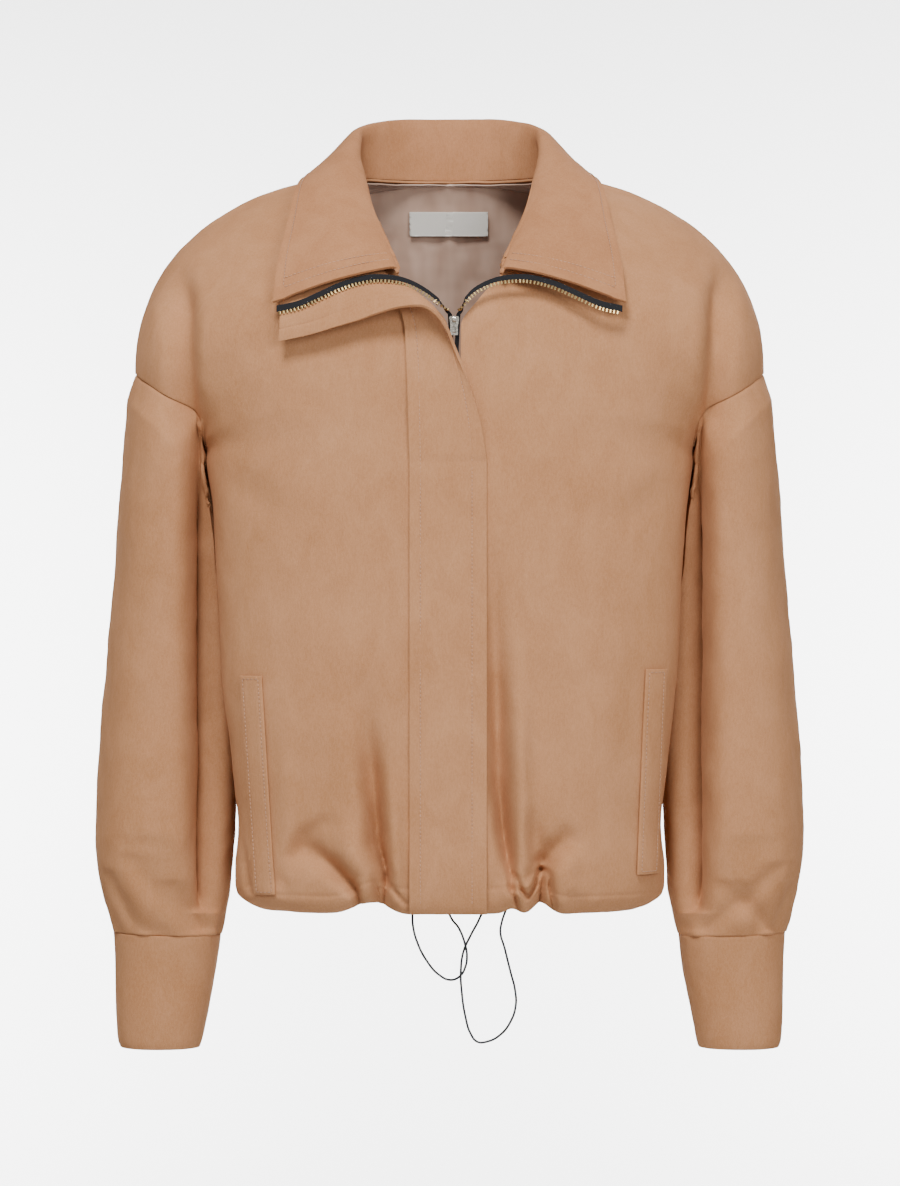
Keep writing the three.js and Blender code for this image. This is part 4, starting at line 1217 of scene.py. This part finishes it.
class GridForm:
    """A sheet of cloth: a fine grid laid on a surface function, then given its wall."""

    def __init__(self, name: str, rows: int, columns: int,
                 place: Callable[[float, float], Vector | None], outward: Callable[[Vector], Vector],
                 weld: bool = False) -> None:
        """Lays the grid.

        Args:
            name: the object's name.
            rows: faces down it.
            columns: faces across it.
            place: point in millimetres for shares down and across; None cuts the cloth away there.
            outward: the direction that the outer face should roughly look in, at a point.
            weld: join the edges that meet, as on a tube.
        """
        self.name = name
        mesh = bmesh.new()
        bmesh.ops.create_grid(mesh, x_segments=columns, y_segments=rows, size=1)
        cut = []
        for vert in mesh.verts:
            point = place((1 - vert.co.y) / 2, (1 + vert.co.x) / 2)
            if point is None:
                cut.append(vert)
            else:
                vert.co = point
        if cut:
            bmesh.ops.delete(mesh, geom=cut, context="VERTS")
        if weld:
            bmesh.ops.remove_doubles(mesh, verts=mesh.verts, dist=0.002)
        mesh.normal_update()
        facing = sum(face.normal.dot(outward(face.calc_center_median())) * face.calc_area()
                     for face in mesh.faces)
        if facing < 0:
            bmesh.ops.reverse_faces(mesh, faces=mesh.faces)
        for face in mesh.faces:
            face.smooth = True
        self.mesh = mesh

    def rumple(self, depth: float, size: float, seed: float = 0.0) -> "GridForm":
        """Adds the slight unevenness of hand-laid cloth.

        Args:
            depth: most that it moves a point.
            size: width of a bump.
            seed: shifts the pattern.
        Returns: itself.
        """
        self.mesh.normal_update()
        shift = Vector((seed, seed * 0.7, -seed))
        moves = [vert.normal * (depth * noise.noise(vert.co / size + shift)
                                + depth * 0.45 * noise.noise(vert.co / (size * 0.37) - shift))
                 for vert in self.mesh.verts]
        for vert, move in zip(self.mesh.verts, moves):
            vert.co += move
        return self

    def object(self, material: bpy.types.Material, wall: float, soften: int = 0) -> bpy.types.Object:
        """Makes the object, thickened to its back.

        Args:
            material: its material.
            wall: thickness in millimetres.
            soften: rounds of smoothing first.
        Returns: the object.
        """
        for _ in range(soften):
            inner = [vert for vert in self.mesh.verts if not vert.is_boundary]
            bmesh.ops.smooth_vert(self.mesh, verts=inner, factor=0.5,
                                  use_axis_x=True, use_axis_y=True, use_axis_z=True)
        made = mesh_object(self.name, self.mesh, material)
        solid = made.modifiers.new("wall", "SOLIDIFY")
        solid.thickness = wall * MM
        solid.offset = -1
        solid.use_even_offset = False
        bevel = made.modifiers.new("edge", "BEVEL")
        bevel.width = wall * MM * 0.3
        bevel.segments = 2
        bevel.limit_method = "ANGLE"
        bevel.angle_limit = math.radians(62)
        return made


def mesh_object(name: str, mesh: bmesh.types.BMesh, material: bpy.types.Material) -> bpy.types.Object:
    """Turns a mesh in millimetres into an object at the origin.

    Args:
        name: the object's name.
        mesh: the mesh, which is freed.
        material: its material.
    Returns: the object.
    """
    bmesh.ops.scale(mesh, vec=(MM, MM, MM), verts=mesh.verts)
    data = bpy.data.meshes.new(name)
    mesh.to_mesh(data)
    mesh.free()
    data.materials.append(material)
    made = bpy.data.objects.new(name, data)
    bpy.context.scene.collection.objects.link(made)
    return made


@dataclass
class Sheet:
    """What a cloth piece states about itself: its cut size and how it is held."""

    flat_mm: tuple[float, float]
    held: str
    rests_on: tuple[str, ...] = ()
    cut_share: float = 1.0


def declare(made: bpy.types.Object, nodes: Sequence[str],
            body: str = "jacket") -> bpy.types.Object:
    """Parents a piece to its body's empty, hides the CAD nodes that it replaces and logs its face count.

    Args:
        made: the piece.
        nodes: CAD nodes that it replaces.
        body: the body that it rides on.
    Returns: the piece.
    """
    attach(made, body)
    if nodes:
        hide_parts(*nodes)
    log.info("%s: %d faces", made.name, len(made.data.polygons))
    return made


class Stitches:
    """Lines of topstitching, gathered into one mesh of small sunk threads."""

    length = 2.3
    pitch = 3.1
    radius = 0.32

    def __init__(self, name: str) -> None:
        """Starts an empty run.

        Args:
            name: the object's name.
        """
        self.name = name
        self.mesh = bmesh.new()

    def line(self, points: Sequence[Vector]) -> None:
        """Sews along a line.

        Args:
            points: places on the cloth's face, in order.
        """
        marks = [0.0]
        for before, after in zip(points, points[1:]):
            marks.append(marks[-1] + (after - before).length)
        count = max(int(marks[-1] / self.pitch), 1)
        at = 0
        for number in range(count):
            middle = (number + 0.5) * marks[-1] / count
            while at < len(marks) - 2 and marks[at + 1] < middle:
                at += 1
            share = (middle - marks[at]) / max(marks[at + 1] - marks[at], 1e-6)
            centre = points[at].lerp(points[at + 1], share)
            run = (points[at + 1] - points[at]).normalized()
            turn = run.to_track_quat("Z", "Y").to_matrix().to_4x4()
            bmesh.ops.create_cone(self.mesh, cap_ends=True, segments=6, radius1=self.radius,
                                  radius2=self.radius, depth=self.length,
                                  matrix=Matrix.Translation(centre) @ turn)

    def object(self, material: bpy.types.Material) -> bpy.types.Object:
        """Makes the object.

        Args:
            material: the thread.
        Returns: the object.
        """
        for face in self.mesh.faces:
            face.smooth = True
        return mesh_object(self.name, self.mesh, material)


class Panels:
    """The fronts and the back."""

    rows = 225
    front_columns = 150
    half_back_columns = 76
    neck_share = 0.16
    cut_mm = {"front": (330.0, 600.0), "back": (620.0, 640.0)}

    def __init__(self, looks: Looks) -> None:
        """Builds the three panels.

        Args:
            looks: the materials.
        """
        for side in Side:
            self.front(side, looks)
        self.back(looks)

    def front(self, side: Side, looks: Looks) -> None:
        """Builds a front.

        Args:
            side: whose front.
            looks: the materials.
        """
        last = len(FRONT_ROWS) - 1

        def place(down: float, across: float) -> Vector:
            # Rows lie closer towards the hem, where the gathers are.
            point = body_point("front", side.value, (1.5 - 0.5 * down) * down * last, across ** 1.2)
            point.y -= SEAM_SHOWING / 2
            return point

        form = GridForm(f"cloth_front_{side.word}", self.rows, self.front_columns, place,
                        lambda point: Vector((point.x, point.y * 2, 0)))
        made = form.rumple(0.7, 34, side.value * 3.1).object(looks.suede, SUEDE_WALL)
        declare(made, [f"front_{side.word}"])

    def back(self, looks: Looks) -> None:
        """Builds the back, open at the neck.

        Args:
            looks: the materials.
        """
        made = back_form("cloth_back", 0.0, len(BACK_ROWS) - 1.0, 1.0, 0.0, self.rows,
                         self.half_back_columns, 0.0).rumple(0.7, 36, 8.0).object(looks.suede, SUEDE_WALL)
        declare(made, ["back"])


def back_form(name: str, row_from: float, row_to: float, turn_most: float, sink: float, rows: int,
              half_columns: int, pleat: float) -> GridForm:
    """A sheet across the back between two rows, open at the neck.

    Args:
        name: the object's name.
        row_from: first row of the back's table.
        row_to: last row.
        turn_most: how far towards the side seams it reaches.
        sink: how far inside the back's face it lies.
        rows: faces down it.
        half_columns: faces across each half.
        pleat: depth of the centre pleat.
    Returns: the laid grid.
    """
    neck_steps = round(rows * Panels.neck_share)
    columns = 2 * half_columns + 1

    def place(down: float, across: float) -> Vector | None:
        row = round(down * rows)
        column = round(across * columns)
        side = 1 if column <= half_columns else -1
        step = half_columns - column if side > 0 else column - half_columns - 1
        if row <= neck_steps:
            at = row_from + (NECK_ROW - row_from) * row / neck_steps
        else:
            at = NECK_ROW + (row_to - NECK_ROW) * (row - neck_steps) / (rows - neck_steps)
        turn = turn_most * step / half_columns
        if sink:
            point = sunk_point("back", side, at, turn, sink)
        else:
            point = body_point("back", side, at, turn)
        if step == 0 and at >= NECK_ROW:
            point.x = 0.0
        fold = pleat * (bell(point.x, 5) - 0.6 * bell(point.x - 9, 5) - 0.5 * bell(point.x + 10, 6))
        point.y += SEAM_SHOWING / 2 - fold
        return point

    reach = -1.0 if sink else 1.0
    form = GridForm(name, rows, columns, place,
                    lambda point: Vector((point.x, point.y * 2, 0)) * reach)
    gap = [face for face in form.mesh.faces
           if all(abs(vert.co.x) >= 0.001 for vert in face.verts)
           and min(vert.co.x for vert in face.verts) < 0 < max(vert.co.x for vert in face.verts)
           and max(vert.co.z for vert in face.verts) > -14]
    bmesh.ops.delete(form.mesh, geom=gap, context="FACES")
    bmesh.ops.remove_doubles(form.mesh, verts=form.mesh.verts, dist=0.002)
    loose = [face for face in form.mesh.faces if face.calc_area() < 1e-6]
    bmesh.ops.delete(form.mesh, geom=loose, context="FACES")
    return form


class Sleeves:
    """The sleeves and their cuffs."""

    rows = 150
    round = 150
    cuff_rows = 44
    cut_mm = (490.0, 430.0)
    cuff_cut_mm = (245.0, 90.0)

    def __init__(self, looks: Looks) -> None:
        """Builds both sides.

        Args:
            looks: the materials.
        """
        for side in Side:
            self.tube(f"cloth_sleeve_{side.word}", self.rows, side, sleeve_point, looks,
                      f"sleeve_{side.word}", SUEDE_WALL, 0.9)
            self.tube(f"cloth_cuff_{side.word}", self.cuff_rows, side, cuff_point, looks,
                      f"cuff_{side.word}", SUEDE_WALL, 0.5)

    def with_allowances(self, point_at: Callable[[int, float, float], Vector], side: int, row: float,
                        rows: int, angle: float) -> Vector:
        """A point of the tube whose first and last rows are the seam allowances, turned in.

        Args:
            point_at: the tube's surface.
            side: -1 or 1.
            row: row of the grid.
            rows: rows in all.
            angle: round the tube.
        Returns: the point in millimetres.
        """
        lips = ALLOWANCE_ROWS if point_at is sleeve_point else 0
        down = min(max((row - lips) / (rows - 2 * lips), 0.0), 1.0)
        point = point_at(side, down, angle)
        spare = max(lips - row, row - (rows - lips), 0.0)
        if spare > 0:
            away = Vector((point.x - SLEEVE_MIDDLE_X * side, point.y, 0)).normalized()
            rise = 1 if row < lips else -1
            tucked = 0.6 + 2.0 * min(spare, 1.0)
            point += Vector((0, 0, rise * (0.4 + 2.2 * (spare - 1)) if spare > 1 else 0)) - away * tucked
        return point

    def tube(self, name: str, rows: int, side: Side, point_at: Callable[[int, float, float], Vector],
             looks: Looks, node: str, wall: float, unevenness: float) -> None:
        """Builds a tube of cloth.

        Args:
            name: the object's name.
            rows: faces down it.
            side: whose arm.
            point_at: its surface.
            looks: the materials.
            node: the CAD node that it replaces.
            wall: thickness.
            unevenness: most that the cloth strays.
        """
        middle = SLEEVE_MIDDLE_X * side.value

        def place(down: float, across: float) -> Vector:
            return self.with_allowances(point_at, side.value, down * rows, rows, (across * 360) % 360)

        form = GridForm(name, rows, self.round, place,
                        lambda point: Vector((point.x - middle, point.y, 0)), weld=True)
        made = form.rumple(unevenness, 30, side.value * 2.3).object(looks.suede, wall)
        declare(made, [node])


class Collar:
    """The funnel collar, opened flat into wings, with its topstitching."""

    across = 240
    rise = 64
    cut_mm = (520.0, 112.0)
    stitch_rises = (0.972,)
    end_lines = (0.966, 0.935)

    def __init__(self, looks: Looks) -> None:
        """Builds the collar.

        Args:
            looks: the materials.
        """
        form = GridForm("cloth_collar", self.rise, self.across,
                        lambda down, along: self.point(along * 2 - 1, down),
                        lambda point: Vector((0, 0, 1)))
        # The collar takes the suede copy painted darker as painted shade of its roll.
        made = form.rumple(0.5, 26, 5.0).object(looks.collar_suede, DOUBLE_WALL)
        declare(made, ["collar"])
        seams = Stitches("stitches_collar")
        for rise in self.stitch_rises:
            seams.line([self.on_top(step / 150 - 1, rise) for step in range(6, 295)])
        for end in (-1, 1):
            for line in self.end_lines:
                seams.line([self.on_top(end * line, 0.55 + 0.42 * step / 60) for step in range(61)])
        declare(seams.object(looks.thread), [])

    def point(self, across: float, rise: float) -> Vector:
        """A point of the collar with its sewn grooves.

        Args:
            across: -1 at the right front end and 1 at the left.
            rise: 0 at the neck seam and 1 at the free edge.
        Returns: the point in millimetres.
        """
        point = collar_point(across, rise)
        groove = 0.5 * max(bell(rise - stitched, 0.012) for stitched in self.stitch_rises)
        point.z -= groove
        return point

    def on_top(self, across: float, rise: float) -> Vector:
        """A place on the collar's outer face.

        Args:
            across: -1 to 1.
            rise: 0 to 1.
        Returns: the point in millimetres.
        """
        across = min(max(across, -0.999), 0.999)
        normal = surface_normal(lambda down, along: collar_point(along, down), min(rise, 0.99),
                                min(across, 0.98), 0.004, Vector((0, -0.4, 1)))
        return collar_point(across, rise) + normal * 0.05


class Placket:
    """The fly placket with its two lines of topstitching."""

    chest_rows = 210
    turn_rows = 130
    columns = 56
    cut_mm = (62.0, 560.0)
    seam_line = -0.72
    free_line = 0.62

    def __init__(self, looks: Looks) -> None:
        """Builds the placket.

        Args:
            looks: the materials.
        """
        rows = self.chest_rows + self.turn_rows

        def place(down: float, across: float) -> Vector:
            row = down * rows
            along = row / self.chest_rows if row < self.chest_rows else 1 + (row - self.chest_rows) / self.turn_rows
            return self.point(along, across * 2 - 1)

        form = GridForm("cloth_placket", rows, self.columns, place, lambda point: Vector((0, -1, 0.4)))
        made = form.rumple(0.35, 22, 9.0).object(looks.suede, DOUBLE_WALL)
        declare(made, ["placket"])
        seams = Stitches("stitches_placket")
        for t in (self.seam_line, self.free_line):
            seams.line([self.point(0.02 + 1.9 * step / 260, t) for step in range(261)])
        declare(seams.object(looks.thread), [])

    def point(self, along: float, t: float) -> Vector:
        """A point of the placket with its sewn grooves and slight pucker.

        Args:
            along: 0 at the hem, 1 where the turn starts and 2 at its end.
            t: -1 at the seam edge and 1 at the free edge.
        Returns: the point in millimetres.
        """
        point = placket_point(along, t)
        groove = 0.45 * (bell(t - self.seam_line, 0.04) + bell(t - self.free_line, 0.04))
        pucker = 0.12 * math.sin(along * 95) * (bell(t - self.free_line, 0.12) + bell(t - self.seam_line, 0.12))
        point.y += groove + pucker
        return point


class Zip:
    """The tapes and the teeth of the open zip."""

    tooth_pitch = 2.8
    tooth_wide = 1.5
    tooth_long = 3.4
    tooth_thick = 1.7

    def __init__(self, looks: Looks) -> None:
        """Builds tapes and teeth.

        Args:
            looks: the materials.
        """
        for side in Side:
            self.tape(side, looks)
            self.teeth(side, looks)

    def tape_point(self, side: int, along: float, across: float) -> Vector:
        """A point of the tape beside the open zip.

        Args:
            side: -1 or 1.
            along: 0 at the slider and 1 at the collar's tip.
            across: 0 at the teeth and 1 at the tape's hidden edge.
        Returns: the point in millimetres.
        """
        turned = soft_step(along * 6)
        away = Vector((side * (1 - turned), 0.8 * math.sin(math.pi * turned), turned)).normalized()
        width = TAPE_NARROW + (TAPE_SHOWING - TAPE_NARROW) * along
        return teeth_point(side, along) + away * (across * width)

    def tape(self, side: Side, looks: Looks) -> None:
        """Builds a tape.

        Args:
            side: which half.
            looks: the materials.
        """
        hidden_rows, shown_rows = 80, 120
        rows = hidden_rows + shown_rows
        bottom_z, top_z = -551.0, -124.0
        sink = SUEDE_WALL + SEAM_GAP + 0.5

        def place(down: float, across: float) -> Vector:
            row = down * rows
            if row > hidden_rows:
                return self.tape_point(side.value, (row - hidden_rows) / shown_rows, across)
            z = bottom_z + (top_z - bottom_z) * row / hidden_rows
            narrowed = TAPE_WIDTH + (TAPE_NARROW - TAPE_WIDTH) * soft_step((z + 175) / 25)
            edge_x = ZIP_X + side.value * (FRONT_EDGE_FROM_ZIP + 1)
            edge = raised_point("front", edge_x, z, -sink, False)
            edge.x = ZIP_X + side.value * (SEAM_GAP + across * narrowed)
            return edge

        form = GridForm(f"cloth_zip_tape_{side.word}", rows, 8, place, lambda point: Vector((0, -1, 0)))
        made = form.object(looks.tape, TAPE_WALL)
        declare(made, [f"zip_tape_{side.word}"])

    def teeth(self, side: Side, looks: Looks) -> None:
        """Sets the teeth along a tape's edge.

        Args:
            side: which half.
            looks: the materials.
        """
        mesh = bmesh.new()
        steps = 400
        line = [teeth_point(side.value, 0.03 + 0.965 * step / steps) for step in range(steps + 1)]
        travelled = 0.0
        for at in range(1, steps):
            travelled += (line[at] - line[at - 1]).length
            if travelled < self.tooth_pitch:
                continue
            travelled -= self.tooth_pitch
            along = 0.03 + 0.965 * at / steps
            run = (line[at + 1] - line[at]).normalized()
            away = (self.tape_point(side.value, along, 1) - line[at]).normalized()
            face = run.cross(away).normalized()
            away = face.cross(run)
            turn = Matrix((run, away, face)).transposed().to_4x4()
            size = Matrix.Diagonal((self.tooth_wide, self.tooth_long, self.tooth_thick, 1))
            centre = line[at] - away * 0.7
            bmesh.ops.create_cube(mesh, size=1, matrix=Matrix.Translation(centre) @ turn @ size)
        bmesh.ops.bevel(mesh, geom=mesh.edges[:], offset=0.22, segments=2, affect="EDGES",
                        profile=0.5, material=-1)
        made = mesh_object(f"zip_teeth_{side.word}", mesh, looks.brass)
        declare(made, [])


class Welts:
    """The pocket welts with the topstitching round them."""

    rows = 90
    columns = 22
    cut_mm = (21.0, 166.0)

    def __init__(self, looks: Looks) -> None:
        """Builds both welts.

        Args:
            looks: the materials.
        """
        for row in POCKET_WELTS:
            self.welt(row, looks)

    def welt(self, row: "WeltRow", looks: Looks) -> None:
        """Builds a welt.

        Args:
            row: its table row.
            looks: the materials.
        """
        word = Side(row.side).word

        def place(down: float, across: float, height: float = 0.0) -> Vector:
            out = row.top_out + (row.bottom_out - row.top_out) * down
            inner = row.top_in + (row.bottom_in - row.top_in) * down
            x = row.side * (inner + (out - inner) * across)
            z = row.top_z + (row.bottom_z - row.top_z) * down
            edge = min(across, 1 - across) * (out - inner)
            puffed = 0.5 * soft_step(edge / 2.5) - 0.35 * bell(edge - 2.6, 0.8)
            return raised_point("front", x, z, SUEDE_WALL + SEAM_GAP + 0.7 + puffed + height)

        form = GridForm(f"cloth_pocket_welt_{word}", self.rows, self.columns, place,
                        lambda point: Vector((point.x * 0.3, -1, 0)) if point.y < 0 else Vector((0, 1, 0)))
        made = form.object(looks.suede, SUEDE_WALL + 0.2)
        declare(made, [f"pocket_welt_{word}"])
        seams = Stitches(f"stitches_welt_{word}")
        inset = 2.6 / (row.top_out - row.top_in)
        for across in (inset, 1 - inset):
            seams.line([place(0.015 + 0.97 * step / 60, across, 0.15) for step in range(61)])
        for down in (0.015, 0.985):
            seams.line([place(down, inset + (1 - 2 * inset) * step / 8, 0.15) for step in range(9)])
        declare(seams.object(looks.thread), [])


class Inside:
    """What shows in the neck: the lining with its centre pleat, and the bare label."""

    lining_cut_mm = (330.0, 260.0)
    label_top_z = -8.0

    def __init__(self, looks: Looks) -> None:
        """Builds the lining and the label.

        Args:
            looks: the materials.
        """
        lining = back_form("cloth_lining_back", 1.2, 8.4, 0.62, LINING_SINK, 110, 50, 1.6)
        made = lining.rumple(0.8, 20, 1.0).object(looks.lining, LINING_WALL)
        declare(made, ["lining_back"])
        sink = LINING_SINK + LINING_WALL + 2.4

        def place(down: float, across: float) -> Vector:
            x = LABEL_WIDTH * (0.49 - across)
            z = self.label_top_z - LABEL_HEIGHT * down
            return raised_point("back", x, z, -sink, False)

        label = GridForm("cloth_label", 16, 44, place, lambda point: Vector((0, -1, 0)))
        made = label.object(looks.label, 0.6)
        declare(made, ["label"])


class Cords:
    """The two loops of elastic cord at the hem."""

    steps = 14

    def __init__(self, looks: Looks) -> None:
        """Builds both loops.

        Args:
            looks: the materials.
        """
        self.loop("drawcord_a", DRAWCORD_A, looks)
        self.loop("drawcord_b", DRAWCORD_B, looks)

    def loop(self, node: str, route: Sequence[Sequence[float]], looks: Looks) -> None:
        """Builds a loop as one open spline.

        Args:
            node: its CAD node.
            route: the CAD part's route points.
            looks: the materials.
        """
        data = bpy.data.curves.new(f"cord_{node}", "CURVE")
        data.dimensions = "3D"
        data.resolution_u = self.steps
        data.bevel_depth = CORD_DIAMETER / 2 * MM
        data.bevel_resolution = 5
        data.use_fill_caps = True
        spline = data.splines.new("BEZIER")
        spline.bezier_points.add(len(route) - 1)
        for point, place in zip(spline.bezier_points, route):
            point.co = Vector(place) * MM
            point.handle_left_type = point.handle_right_type = "AUTO"
        data.materials.append(looks.cord)
        made = bpy.data.objects.new(f"cord_{node}", data)
        bpy.context.scene.collection.objects.link(made)
        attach(made, "jacket")
        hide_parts(node)


class Hardware:
    """The slider and its pull tab keep the CAD shapes and take the metal's look."""

    def __init__(self, looks: Looks) -> None:
        """Dresses the CAD nodes.

        Args:
            looks: the materials.
        """
        for node in ("zip_slider", "pull_tab"):
            made = bpy.data.objects[node]
            made.data.materials.clear()
            made.data.materials.append(looks.silver)
            bevel = made.modifiers.new("edge", "BEVEL")
            bevel.width = 0.25 * MM
            bevel.segments = 2
            bevel.limit_method = "ANGLE"
            log.info("%s: CAD shape kept", node)


class Studio:
    """Camera, soft lights and a pale floor that sweeps up behind the jacket."""

    distance = 3400.0
    height = -314.3
    centre_x = 0.4
    view_wide = 702.0
    floor_z = -2600.0
    wall_y = 8500.0
    sweep = 1500.0

    def camera(self) -> None:
        """Sets the camera at the photo's angle."""
        data = bpy.data.cameras.new("camera")
        data.sensor_fit = "HORIZONTAL"
        data.sensor_width = 36.0
        data.lens = data.sensor_width * self.distance / self.view_wide
        data.clip_end = 30
        made = bpy.data.objects.new("camera", data)
        made.location = Vector((self.centre_x, -self.distance, self.height)) * MM
        made.rotation_euler = (math.pi / 2, 0, 0)
        bpy.context.scene.collection.objects.link(made)
        bpy.context.scene.camera = made

    def light(self, name: str, place: Sequence[float], wide: float, tall: float, power: float,
              target: Sequence[float]) -> None:
        """Adds a soft box.

        Args:
            name: its name.
            place: where, in metres.
            wide: its width in metres.
            tall: its height in metres.
            power: watts.
            target: what it looks at, in metres.
        """
        data = bpy.data.lights.new(name, "AREA")
        data.shape = "RECTANGLE"
        data.size, data.size_y = wide, tall
        data.energy = power
        made = bpy.data.objects.new(name, data)
        made.location = place
        aim = Vector(target) - Vector(place)
        made.rotation_euler = aim.to_track_quat("-Z", "Y").to_euler()
        bpy.context.scene.collection.objects.link(made)

    def room(self, looks: Looks) -> None:
        """Builds the floor and the light.

        Args:
            looks: the materials.
        """
        mesh = bmesh.new()
        bmesh.ops.create_grid(mesh, x_segments=2, y_segments=40, size=1)
        for vert in mesh.verts:
            share = (vert.co.y + 1) / 2
            run = -self.wall_y + 2 * self.wall_y * share
            # The wall stands far enough back to leave room for a camera behind the jacket.
            bend = max(run - self.wall_y + self.sweep, 0.0) / self.sweep
            curve = self.sweep * (math.sin(bend * math.pi / 2) - bend)
            vert.co = Vector((vert.co.x * 7000, run + curve,
                              self.floor_z + 4 * self.sweep * (1 - math.cos(bend * math.pi / 2))))
        for face in mesh.faces:
            face.smooth = True
        floor = mesh_object("floor", mesh, looks.floor)
        self.light("key", (-0.5, -2.3, 2.4), 0.9, 0.9, 130, (0, 0, -0.3))
        self.light("fill", (1.3, -3.0, 0.6), 1.2, 1.2, 52, (0, 0, -0.3))
        self.light("rear", (0.9, 3.0, 1.5), 1.2, 1.2, 45, (0, 0, -0.3))
        self.light("backdrop_left", (-1.9, 6.3, -0.2), 1.6, 2.6, 350, (-0.4, 8.5, -0.4))
        self.light("backdrop_right", (1.9, 6.3, -0.2), 1.6, 2.6, 350, (0.4, 8.5, -0.4))
        world = bpy.data.worlds.new("studio")
        world.use_nodes = True
        world.node_tree.nodes["Background"].inputs["Color"].default_value = linear("f6f6f6")
        world.node_tree.nodes["Background"].inputs["Strength"].default_value = 0.43
        bpy.context.scene.world = world


def write_size() -> None:
    """Updates the view layer.
    """
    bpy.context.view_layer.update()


def main() -> None:
    """Builds the whole scene."""
    write_size()
    looks = Looks()
    studio = Studio()
    studio.camera()
    Cords(looks)
    Panels(looks)
    Sleeves(looks)
    Collar(looks)
    Placket(looks)
    Zip(looks)
    Welts(looks)
    Inside(looks)
    Hardware(looks)
    studio.room(looks)
    write_size()


if __name__ == "__main__":
    main()
